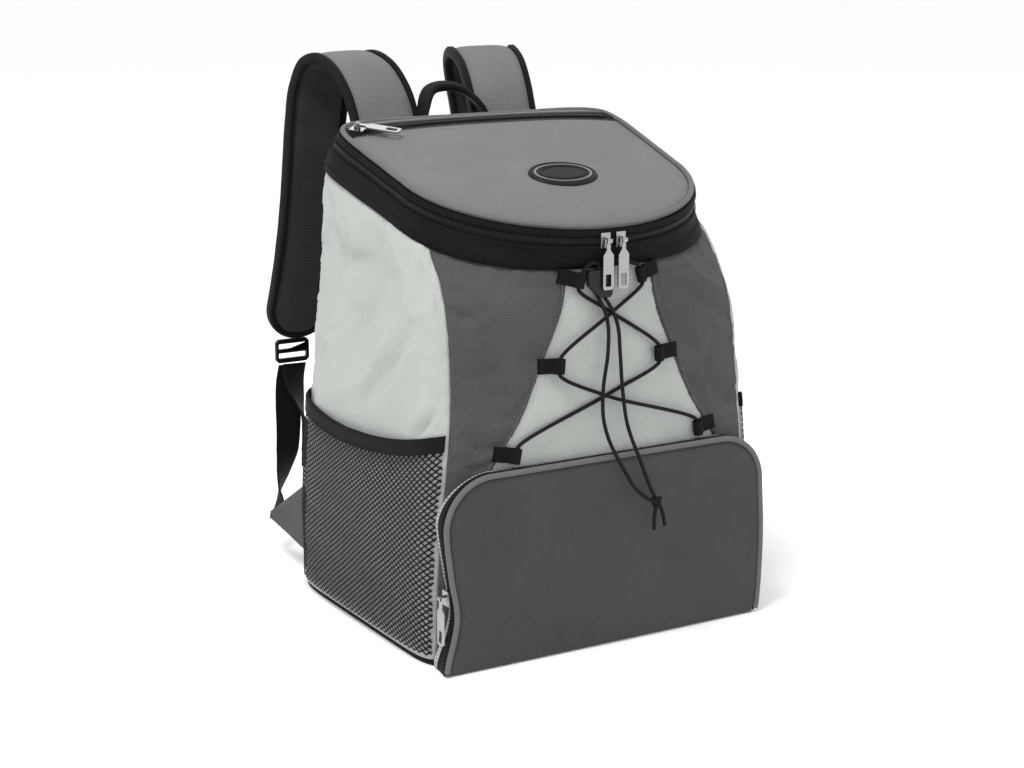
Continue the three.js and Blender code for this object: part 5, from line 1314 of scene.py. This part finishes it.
def makeNet(name, side):
    k = np.linspace(0, 1, 120)
    width = np.linalg.norm(np.diff(netPoint(side, k, 0.5), axis=0), axis=1).sum()
    height = np.linalg.norm(np.diff(netPoint(side, np.full(80, 0.5), np.linspace(0, 1, 80)), axis=0), axis=1).sum()
    slope = net["cellHeight"] / net["cellWidth"]
    vertices, faces, start = [], [], 0
    across, high = int(width / net["cellWidth"]) + 1, int(height / net["cellHeight"]) + 1
    for sign in (1, -1):
        for n in range(-high - 1, across + high + 2):
            # The strand a / cellWidth + sign * b / cellHeight = n, cut off at the net's edges
            b = np.arange(0, height + net["step"], net["step"] * slope / math.hypot(1, slope))
            a = (n - sign * b / net["cellHeight"]) * net["cellWidth"]
            wobble = 0.35 * ripple(a, b, 14, 2, n * 0.37)
            keep = (a > 0) & (a < width) & (b <= height)
            if keep.sum() < 3:
                continue
            a, b = a[keep] + wobble[keep], b[keep]
            place = netPoint(side, a / width, b / height, netSag(a / width, b / height, side))
            da = netPoint(side, np.clip(a / width + 0.004, 0, 1), b / height) - netPoint(side, np.clip(a / width - 0.004, 0, 1), b / height)
            tangent = np.gradient(place, axis=0)
            tangent /= np.maximum(np.linalg.norm(tangent, axis=1, keepdims=True), 1e-9)
            normal = np.cross(da, [0, 0, 1.0])
            normal /= np.maximum(np.linalg.norm(normal, axis=1, keepdims=True), 1e-9)
            flat = np.cross(tangent, normal)
            phase = (a / net["cellWidth"] - sign * b / net["cellHeight"]) % 1.0
            wide = net["strand"] * (0.86 + 0.34 * np.abs(np.cos(math.pi * phase)) ** 3)
            lift = 0.16 * sign * np.cos(2 * math.pi * phase)
            corner = [place + flat * (c * wide / 2)[:, None] + normal * (lift + h * net["thick"])[:, None]
                      for c, h in ((1, 0), (0, 0.6), (-1, 0), (0, -0.4))]
            ring = np.stack(corner, 1)
            quads = gridFaces(len(ring), 4, wrapColumns=True)
            caps = np.array([[0, 1, 2, 3], [3, 2, 1, 0]]) + [[0], [(len(ring) - 1) * 4]]
            vertices.append(ring.reshape(-1, 3))
            faces.append(np.concatenate([quads, caps]) + start)
            start += len(ring) * 4
    vertices, faces = np.concatenate(vertices), np.concatenate(faces)
    piece = makePiece("mesh_pocket_" + name, vertices, faces, finish["net"])
    outward(piece.data)
    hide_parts("mesh_pocket_" + name)

    k = np.linspace(0, 1, 150)[None]
    above = np.linspace(-1.0, net["bindingHeight"], 12)[:, None]
    share = np.linspace(0, 1, 12)[:, None]
    crown = 0.6 + 0.7 * np.sin(math.pi * share) ** 0.5 + 0.25 * ripple(k * 14, share, 1.0, 2, side)
    outer = netPoint(side, k, np.ones_like(above), crown, above)
    tape = slabPiece("mesh_binding_" + name, outer, outer - gridNormals(outer) * net["bindingThickness"], finish["blackCloth"])
    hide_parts("mesh_binding_" + name)
    rows = []
    for height0 in (0.8, net["bindingHeight"] - 1.6):
        k1 = np.linspace(0.004, 0.996, 300)
        line = netPoint(side, k1, np.ones(300), 1.05, height0)
        rows.append(stitchRow(line, line - netPoint(side, k1, np.ones(300), 0.0, height0), pitch=3.0))
    stitchPiece("mesh_binding_stitching_" + name, rows, finish["darkThread"])


for name, side in (("left", -1), ("right", 1)):
    makeNet(name, side)
print("side pockets made")


# Shoulder straps behind the bag. Columns: across, back, up, turn in degrees
strap = {
    "width": 64.0, "thickness": 9.0, "binding": 6.0, "bindingThickness": 11.0, "reach": 150.0, "height": 456.0,
    "webbing": 25.0, "webbingThickness": 1.8, "rows": 200, "columns": 40,
}
strapRoute = np.array([
    (0.38, -0.235, 0.7655, 0),
    (0.381, -0.155, 0.815, 0),
    (0.384, -0.069, 0.876, 2),
    (0.395, 0.013, 0.926, 4),
    (0.421, 0.147, 0.9695, 8),
    (0.454, 0.312, 0.986, 12),
    (0.493, 0.425, 0.971, 14),
    (0.533, 0.474, 0.927, 14),
    (0.566, 0.472, 0.865, 12),
    (0.605, 0.448, 0.758, 8),
    (0.638, 0.442, 0.641, 4),
    (0.664, 0.496, 0.529, 0),
    (0.684, 0.59, 0.431, 0),
])
webbingRoute = np.array([
    (0.7, 0.617, 0.372, 0),
    (0.704, 0.65, 0.335, 0),
    (0.717, 0.638, 0.29, 0),
    (0.737, 0.603, 0.245, 5),
    (0.757, 0.585, 0.195, 12),
    (0.79, 0.575, 0.15, 35),
    (0.835, 0.545, 0.115, 60),
    (0.885, 0.465, 0.092, 80),
])
tailRoute = np.array([
    (0.69, 0.59, 0.376, 10),
    (0.695, 0.575, 0.34, 30),
    (0.7, 0.52, 0.305, 55),
    (0.717, 0.42, 0.262, 75),
    (0.743, 0.32, 0.224, 85),
    (0.76, 0.27, 0.2, 88),
])


def routePoints(table, side):
    return np.stack([side * table[:, 0] * bag["baseWidth"] / 2, rearY + table[:, 1] * strap["reach"], table[:, 2] * strap["height"]], -1)


def strapFrames(table, side, steps):
    at = smoothCurve(routePoints(table, side), steps)
    tangent = np.gradient(at, axis=0)
    tangent /= np.linalg.norm(tangent, axis=1, keepdims=True)
    turn = np.radians(np.interp(np.linspace(0, len(table) - 1, steps), np.arange(len(table)), table[:, 3])) * -side
    u = np.stack([np.cos(turn), np.sin(turn), 0 * turn], -1)
    u -= tangent * (u * tangent).sum(1, keepdims=True)
    u /= np.linalg.norm(u, axis=1, keepdims=True)
    w = np.cross(u, tangent)
    length = np.concatenate([[0], np.cumsum(np.linalg.norm(np.diff(at, axis=0), axis=1))])
    return at, u, w / np.linalg.norm(w, axis=1, keepdims=True), length


def frameAt(frames, s):
    at, u, w, length = frames
    take = lambda values: np.stack([np.interp(s, length, values[:, c]) for c in range(3)], -1)
    a, b, c = take(at), take(u), take(w)
    return a, b / np.linalg.norm(b, axis=-1, keepdims=True), c / np.linalg.norm(c, axis=-1, keepdims=True)


def makeStrap(name, side):
    frames = strapFrames(strapRoute, side, 400)
    length = frames[3][-1]
    full = strap["width"] / 2
    half = full - 2.2
    roundStart = length - full
    rows = np.concatenate([np.linspace(0, roundStart, 150, endpoint=False),
                           roundStart + half * np.sin(np.linspace(0, math.pi / 2, 36)) * 0.999])
    at, u, w = frameAt(frames, rows)
    over = np.clip((rows - roundStart) / half, 0, 1)
    wide = half * np.sqrt(np.maximum(1 - over**2, 0.0016))
    a = np.linspace(-1, 1, strap["columns"])[None]
    across = a * wide[:, None]
    edge = np.minimum(wide[:, None] - np.abs(across), (length - 2.2 - rows)[:, None])
    crown = (strap["thickness"] / 2 + 0.9) * (1 - 0.3 * np.abs(a) ** 3) - 2.2 * np.exp(-np.maximum(edge - 4, 0) / 3.2)
    bend = bump(rows, 118, 60)[:, None] + 0.6 * bump(rows, 225, 50)[:, None]
    inside = (1 - np.exp(-np.maximum(edge - 4, 0) / 6))
    pull = 0.9 * np.cos(rows[:, None] / 5.3 + 1.2 * ripple(rows[:, None] / 30, a, 1.0, 2, side)) * bend
    wave = 0.6 * ripple(rows[:, None] + 0 * across, across, 40, 3, side + 8)
    place = at[:, None] + u[:, None] * across[..., None]
    outer = place + w[:, None] * (crown + wave * inside)[..., None]
    inner = place - w[:, None] * (crown + (wave * 0.7 + pull * 0.9) * inside)[..., None]
    face = slabPiece("strap_pad_" + name, outer, place + w[:, None] * 0.0, finish["strapCloth"])
    outward(face.data)
    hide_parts("strap_pad_" + name)
    lining = slabPiece("strap_lining_" + name, place - w[:, None] * 0.0, inner, finish["strapLining"])
    outward(lining.data)

    # Binding: a folded tape round both sides and the round end
    edgeLine = full - strap["binding"] / 2 + 0.4
    straight = np.linspace(0, roundStart, 220, endpoint=False)
    turn = np.linspace(0, math.pi, 90)
    s = np.concatenate([straight, roundStart + edgeLine * np.sin(turn), straight[::-1]])
    side0 = np.concatenate([np.full(220, -edgeLine), -edgeLine * np.cos(turn), np.full(220, edgeLine)])
    at, u, w = frameAt(frames, s)
    line = at + u * side0[:, None]
    tangent = np.gradient(line, axis=0)
    tangent /= np.linalg.norm(tangent, axis=1, keepdims=True)
    flat = np.cross(tangent, w)
    flat /= np.linalg.norm(flat, axis=1, keepdims=True)
    wobble = 1 + 0.05 * ripple(np.arange(len(line)) / 18.0, np.zeros(len(line)), 1.0, 2, side)
    profile = roundProfile(strap["binding"], strap["bindingThickness"] - 1.2, 16, 3.2)[None] * wobble[:, None, None]
    binding = sweepPiece("strap_binding_" + name, line, flat, w, profile, finish["tape"])
    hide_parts("strap_binding_" + name)
    rows = []
    for level in (1, -1):
        shift = line - flat * (strap["binding"] / 2 - 1.7) + w * level * (strap["bindingThickness"] / 2 - 0.75)
        rows.append(stitchRow(shift, w * level, lift=0.0))
    for level in (1, -1):
        shift = line + flat * (strap["binding"] / 2 - 1.7) + w * level * (strap["bindingThickness"] / 2 - 0.75)
        rows.append(stitchRow(shift, w * level, lift=0.0))
    stitchPiece("strap_stitching_" + name, rows, finish["darkThread"])

    for part, table, steps in (("webbing", webbingRoute, 160), ("tail", tailRoute, 110)):
        at, u, w, lengths = strapFrames(table, side, steps)
        curl = 0.7 * np.sin(lengths / 14.0)[:, None]
        profile = roundProfile(strap["webbing"], strap["webbingThickness"], 20, 6.0)
        bent = np.broadcast_to(profile, (steps,) + profile.shape).copy()
        bent[..., 1] += curl * (bent[..., 0] / strap["webbing"] * 2) ** 2
        piece = sweepPiece(f"strap_{part}_{name}", at, u, w, bent, finish["webbing"])
        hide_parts(f"strap_{part}_{name}")


# A copy of a CAD node with merged corners, bevelled edges and its own finish
def refined(node, material, rides, width=0.3, segments=2, angle=30):
    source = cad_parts[node]
    source = source if isinstance(source, bpy.types.Object) else bpy.data.objects[source]
    data = source.data.copy()
    shape = bmesh.new()
    shape.from_mesh(data)
    shape.transform(source.matrix_world)
    bmesh.ops.remove_doubles(shape, verts=shape.verts, dist=1e-5)
    bmesh.ops.dissolve_limit(shape, angle_limit=math.radians(1.5), verts=shape.verts, edges=shape.edges)
    bmesh.ops.recalc_face_normals(shape, faces=shape.faces)
    data.clear_geometry()
    shape.to_mesh(data)
    shape.free()
    data.materials.clear()
    data.materials.append(material)
    data.polygons.foreach_set("use_smooth", np.full(len(data.polygons), True))
    piece = bpy.data.objects.new(node + "_metal" if "chrome" in material.name or "metal" in material.name else node + "_moulded", data)
    scene.collection.objects.link(piece)
    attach(piece, rides)
    bevel = piece.modifiers.new("bevel", "BEVEL")
    bevel.width, bevel.segments, bevel.limit_method, bevel.angle_limit = width * mm, segments, "ANGLE", math.radians(angle)
    bevel.harden_normals = False
    weighted = piece.modifiers.new("normals", "WEIGHTED_NORMAL")
    weighted.keep_sharp = True
    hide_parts(node)
    return piece


def upAtHeight(share, z):
    up = np.linspace(0, 2, 1001)
    return float(np.interp(z, onBag(up, np.full(1001, share))[:, 2], up))


tab = {"thickness": 4.0, "gap": 0.5, "inner": 0.895}


def makeTab(name, side):
    innerX = tab["inner"] * bag["baseWidth"] / 2

    def corner(z):
        up = upAtHeight(1.0, z)
        x, y = rowX(up), rowY(up)
        k = int(np.argmax((y > rearY - 0.1 * bag["baseDepth"]) & (x <= innerX)))
        t = (innerX - x[k - 1]) / (x[k] - x[k - 1])
        return np.array([side * (innerX + tab["thickness"] / 2), mix(y[k - 1], y[k], t) + tab["gap"], z])

    foot, top = corner(0.052 * bag["rearHeight"]), corner(0.225 * bag["rearHeight"])
    tip = routePoints(webbingRoute, side)[-1] + [side * (tab["thickness"] / 2 + strap["webbingThickness"] / 2 + 1.2), 6, -8]
    u, v = np.linspace(0, 1, 48)[None, :, None], np.linspace(0, 1, 30)[:, None, None]
    middle = mix(mix(foot, tip, u), mix(top, tip + [0, -3, 6], u), v)
    middle = middle + np.array([side, 0, 0]) * 1.2 * np.sin(math.pi * u) * np.sin(math.pi * v)
    edge = np.minimum(np.minimum(u, 1 - u) * 90, np.minimum(v, 1 - v) * 60)
    half = tab["thickness"] / 2 * (1 - 0.7 * np.exp(-edge / 1.6)) + 0.25 * ripple(u * 90, v * 60, 18, 2, side)[...]
    outer, inner = middle + np.array([side, 0, 0]) * half, middle - np.array([side, 0, 0]) * half
    piece = slabPiece("strap_tab_" + name, outer, inner, finish["darkCloth"])
    outward(piece.data)
    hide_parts("strap_tab_" + name)
    rows = []
    for level in (0.08, 0.16, 0.84, 0.92):
        k = int(level * 29)
        rows.append(stitchRow(outer[k], np.tile([side * 1.0, 0, 0], (48, 1))))
    stitchPiece("strap_tab_stitching_" + name, rows, finish["thread"])


def makeHandle():
    half = 33.0
    foot = onBag(np.array([0.985]), np.array([1.0]), np.array([0.0]))[0]
    arch = [(1, -1.2, 0), (1.0, 6.8, 13.5), (0.86, 13.5, 35), (0.4, 27, 51)]
    points = [(side * half * across, foot[1] + back, foot[2] + rise)
              for side, rows in ((-1, arch), (1, arch[::-1])) for across, back, rise in rows]
    at = smoothCurve(points, 150)
    tangent = np.gradient(at, axis=0)
    tangent /= np.linalg.norm(tangent, axis=1, keepdims=True)
    u = np.array([0.0, 0.97, 0.24]) - tangent * (tangent @ np.array([0.0, 0.97, 0.24]))[:, None]
    u /= np.linalg.norm(u, axis=1, keepdims=True)
    w = np.cross(u, tangent)
    at[:, 1] += 7
    along0 = np.linspace(-1, 1, 150)
    roll = roundProfile(1, 1, 20, 3.4)[None] * np.stack([15 - 2.0 * bump(along0, 0, 0.5), 4.2 + 3.2 * bump(along0, 0, 0.45)], -1)[:, None]
    piece = sweepPiece("grab_handle", at, u, w, roll, finish["webbing"])
    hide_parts("grab_handle")


for name, side in (("left", -1), ("right", 1)):
    makeStrap(name, side)
    makeTab(name, side)
    refined("strap_buckle_" + name, finish["plastic"], "bag", 0.9, 3)
makeHandle()
print("straps made")

# Front lacing. Loops: level, out as a share of the half width, up as a share of the front height, slope in degrees
cord = {"diameter": 3.0, "loopLength": 21.0, "loopWidth": 12.0, "loopCloth": 2.2, "loopBore": 4.2, "lockLength": 23.0, "lockHeight": 22.0}
loopPlaces = {"top": (0.29, 0.9, 15), "mid": (0.415, 0.697, 4), "low": (0.672, 0.506, 10)}
tailLeft = [(-11, -138.0, 281), (-8, -140.7, 272), (-6, -141.4, 260), (-6.2, -141.2, 239), (-10, -141.4, 214), (-9.7, -141.5, 189),
            (-5, -143.5, 170), (-0.8, -149.0, 157), (5, -153.5, 144), (10.9, -154.8, 134), (19, -154.8, 126), (27.4, -154.7, 120)]
tailRight = [(-5, -138.0, 281), (-1, -141.1, 272), (3, -141.5, 260), (5.5, -141.2, 238), (7.7, -141.4, 212), (12, -141.7, 184),
             (15.5, -144.0, 170), (19, -149.0, 156), (21.5, -153.0, 145), (24.2, -154.8, 136), (27.5, -154.8, 129), (30.6, -154.8, 123.5)]
knotPoint = np.array([33, -154.8, 118.5])
crossings = {"high": (0.4, 272, (2.4, 5.9)), "low": (-2.4, 205, (2.4, 5.9))}


def unit(vector):
    return vector / np.linalg.norm(vector)


def loopPlace(level, side):
    out, up, slope = loopPlaces[level]
    angle = math.radians(slope)
    foot = frontAt(side * out * bag["baseWidth"] / 2, up * bag["frontHeight"], 0.9)
    tip = frontAt(foot[0] - side * cord["loopLength"] * math.cos(angle), foot[2] - cord["loopLength"] * math.sin(angle), 0.9)
    length = unit(tip - foot)
    above = unit(np.array([0, -1.0, 0]) + length * length[1])
    eye = cord["loopBore"] / 2 + cord["loopCloth"] * 0.8
    bore = foot + length * (cord["loopLength"] - eye) + above * eye
    return foot, length, above, np.cross(length, above), bore


def makeLoop(level, name, side):
    foot, length, above, axis, bore = loopPlace(level, side)
    eye = cord["loopBore"] / 2 + cord["loopCloth"] * 0.8
    radius = eye - 0.6
    turn = np.linspace(-math.pi / 2, math.pi / 2 + 0.62, 26)
    arc = np.stack([cord["loopLength"] - eye + radius * np.cos(turn), eye + radius * np.sin(turn)], -1)
    flat = np.array([(-1.5, 0.6), (3.0, 0.6), (7.0, 0.6), (10.5, 0.6)])
    back = np.array([(cord["loopLength"] - eye * 2.5, 2.2), (6.0, 1.9), (2.0, 1.85), (-1.0, 1.7)])
    plan = np.concatenate([flat, arc, back])
    path = evenSteps(np.column_stack([plan, 0 * plan[:, 0]]), 110)[:, :2]
    points = foot + length * path[:, :1] + above * path[:, 1:]
    sides = np.tile(axis, (len(points), 1))
    tangent = np.gradient(points, axis=0)
    tangent /= np.linalg.norm(tangent, axis=1, keepdims=True)
    piece = sweepPiece(f"cord_loop_{level}_{name}", points, sides, np.cross(sides, tangent), roundProfile(cord["loopWidth"], 1.15, 16, 6.0),
                       finish["webbing"])
    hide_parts(f"cord_loop_{level}_{name}")
    # Box of stitches that holds the loop down
    rows = []
    for shift in (-4.2, 0.0, 4.2):
        line = points[-26:-6] + axis * shift + above * 0.55
        rows.append(stitchRow(line, np.tile(above, (len(line), 1)), pitch=2.2, length=1.7))
    stitchPiece(f"loop_stitching_{level}_{name}", rows, finish["darkThread"])


def throughLoop(level, side, shortened=-1.0):
    foot, length, above, axis, bore = loopPlace(level, side)
    sign = np.sign(axis[2])
    reach = cord["loopWidth"] / 2
    return [bore + axis * a * sign for a in (-reach + shortened, -reach / 3, reach / 3, reach + 1)]


def cordTube(name, control, radius, steps, material, rides="bag"):
    points = smoothCurve(np.array(control, float), steps)
    tangent = np.gradient(points, axis=0)
    tangent /= np.linalg.norm(tangent, axis=1, keepdims=True)
    side = np.cross(tangent, [0.0, -1.0, 0.0])
    side /= np.maximum(np.linalg.norm(side, axis=1, keepdims=True), 1e-9)
    piece = sweepPiece(name, points, side, np.cross(side, tangent), roundProfile(2 * radius, 2 * radius, 14), material, rides=rides)
    return piece, points


def makeCords():
    for level in loopPlaces:
        for name, side in (("left", -1), ("right", 1)):
            makeLoop(level, name, side)
    lock = refined("cord_lock", finish["plastic"], "bag", 1.0, 3)
    leftBore, rightBore = tailLeft[0][0], tailRight[0][0]
    lockAt = frontAt(leftBore + 0.5, 295, 3.6)
    half, radius = cord["lockHeight"] / 2, cord["diameter"] / 2
    for name, side, run in (("left", -1, 0), ("right", 1, 1)):
        lowX, lowZ, lowOut = crossings["low"]
        highX, highZ, highOut = crossings["high"]
        boreX = leftBore if side < 0 else rightBore
        last = [np.array([boreX, lockAt[1], lockAt[2] + half + rise]) for rise in (4, 1, -half + 0.15)]
        over = frontAt(boreX + side * (6 if side < 0 else 13), lockAt[2] + half + 5.5, 4.2)
        control = [*throughLoop("low", side, 0.5), frontAt(lowX, lowZ, lowOut[run]), *throughLoop("mid", -side),
                   frontAt(highX, highZ, highOut[run]), *throughLoop("top", side), over, *last]
        piece, points = cordTube("cord_lacing_" + name, control, radius, 420, finish["elastic"])
        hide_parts("cord_lacing_" + name)
    knotSteps = np.linspace(0, 2 * math.pi, 160, endpoint=False)
    trefoil = np.stack([np.sin(knotSteps) + 2 * np.sin(2 * knotSteps), 0.9 * np.sin(3 * knotSteps), np.cos(knotSteps) - 2 * np.cos(2 * knotSteps)], -1)
    at = knotPoint + trefoil * [1.35, 1.5, 1.35]
    side, face, tangent = lineFrames(at, [0.0, -1.0, 0.02])
    knot = sweepPiece("cord_knot", at, side, face, roundProfile(3.0, 3.0, 12), finish["elastic"], closed=True)
    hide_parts("cord_knot")
    pieces = [knot]
    ends = [[(0, 0, 0), (-2, -0.5, -10), (-2.5, -0.5, -23)], [(1, 0, 0), (5, -0.5, -9), (8, -0.5, -21)]]
    for number, shape in enumerate(ends):
        end, points = cordTube(f"cord_end_{number}", [knotPoint + p for p in shape], radius, 40, finish["elastic"])
        pieces.append(end)
    for name, boreX, route, withPieces in (("left", leftBore, tailLeft, pieces), ("right", rightBore, tailRight, [])):
        first = [np.array([boreX, lockAt[1], lockAt[2] - drop]) for drop in (0.15, half)]
        piece, points = cordTube("cord_tail_" + name, [*first, *route], radius, 260, finish["elastic"])
        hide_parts("cord_tail_" + name)


makeCords()
print("cords made")

# Zip sliders and pulls: bevelled copies of the CAD ones, each pull on its own body
for node, rides in (("lid_zip_left", "lid_zip_left_pull"), ("lid_zip_right", "lid_zip_right_pull"),
                    ("lid_pocket", "lid_pocket_pull"), ("pocket", "pocket_pull")):
    refined(node + "_slider", finish["chrome"], "bag", 0.32, 3)
    refined(node + "_pull", finish["chrome"], rides, 0.28, 3)
print("zip metal made")


def makeBase():
    share = np.linspace(-1, 1, 360, endpoint=False)
    loop = onBag(np.zeros(360), share, np.full(360, -0.5))[:, :2]
    flat = lambda height: lambda place, d: np.concatenate([place, (height + 0 * d + (0.6 * np.exp(-d / 1.5) if height < 1 else 0))[..., None]], -1)
    base = discPiece("base_panel", loop, 30, flat(bag["floorThickness"]), flat(0.0), finish["blackCloth"])
    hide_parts("base_panel")


makeBase()
print("base made")


# Studio: a pale floor, a large soft light from the upper left and fainter ones round it
studio = {"floor": (0.98, 0.98, 0.98), "world": 1.0, "keyPower": 34.0, "fillPower": 1.0, "rimPower": 4.0}


def makeStudio():
    material, tree, shader = startMaterial("studio floor")
    shader.inputs["Base Color"].default_value = (*studio["floor"], 1)
    shader.inputs["Roughness"].default_value = 0.9
    data = bpy.data.meshes.new("studio floor")
    data.from_pydata([(-60, -60, 0), (60, -60, 0), (60, 60, 0), (-60, 60, 0)], [], [(0, 1, 2, 3)])
    data.materials.append(material)
    floor = bpy.data.objects.new("studio floor", data)
    scene.collection.objects.link(floor)
    world = bpy.data.worlds.new("studio")
    world.use_nodes = True
    world.node_tree.nodes["Background"].inputs[0].default_value = (1.0, 1.0, 1.0, 1)
    world.node_tree.nodes["Background"].inputs[1].default_value = studio["world"]
    scene.world = world
    lights = [("key", (-1.0, -0.55, 2.3), 0.8, studio["keyPower"]), ("fill", (1.7, -1.2, 1.1), 1.6, studio["fillPower"]),
              ("rim", (0.3, 1.8, 1.7), 1.4, studio["rimPower"])]
    for name, place, size, power in lights:
        light = bpy.data.lights.new(name, "AREA")
        light.shape, light.size, light.energy = "DISK", size, power
        lamp = bpy.data.objects.new(name, light)
        lamp.location = place
        lamp.rotation_euler = (Vector((0, 0, 0.22)) - Vector(place)).to_track_quat("-Z", "Y").to_euler()
        scene.collection.objects.link(lamp)
    scene.view_settings.view_transform = "Standard"


makeStudio()
print("studio made")
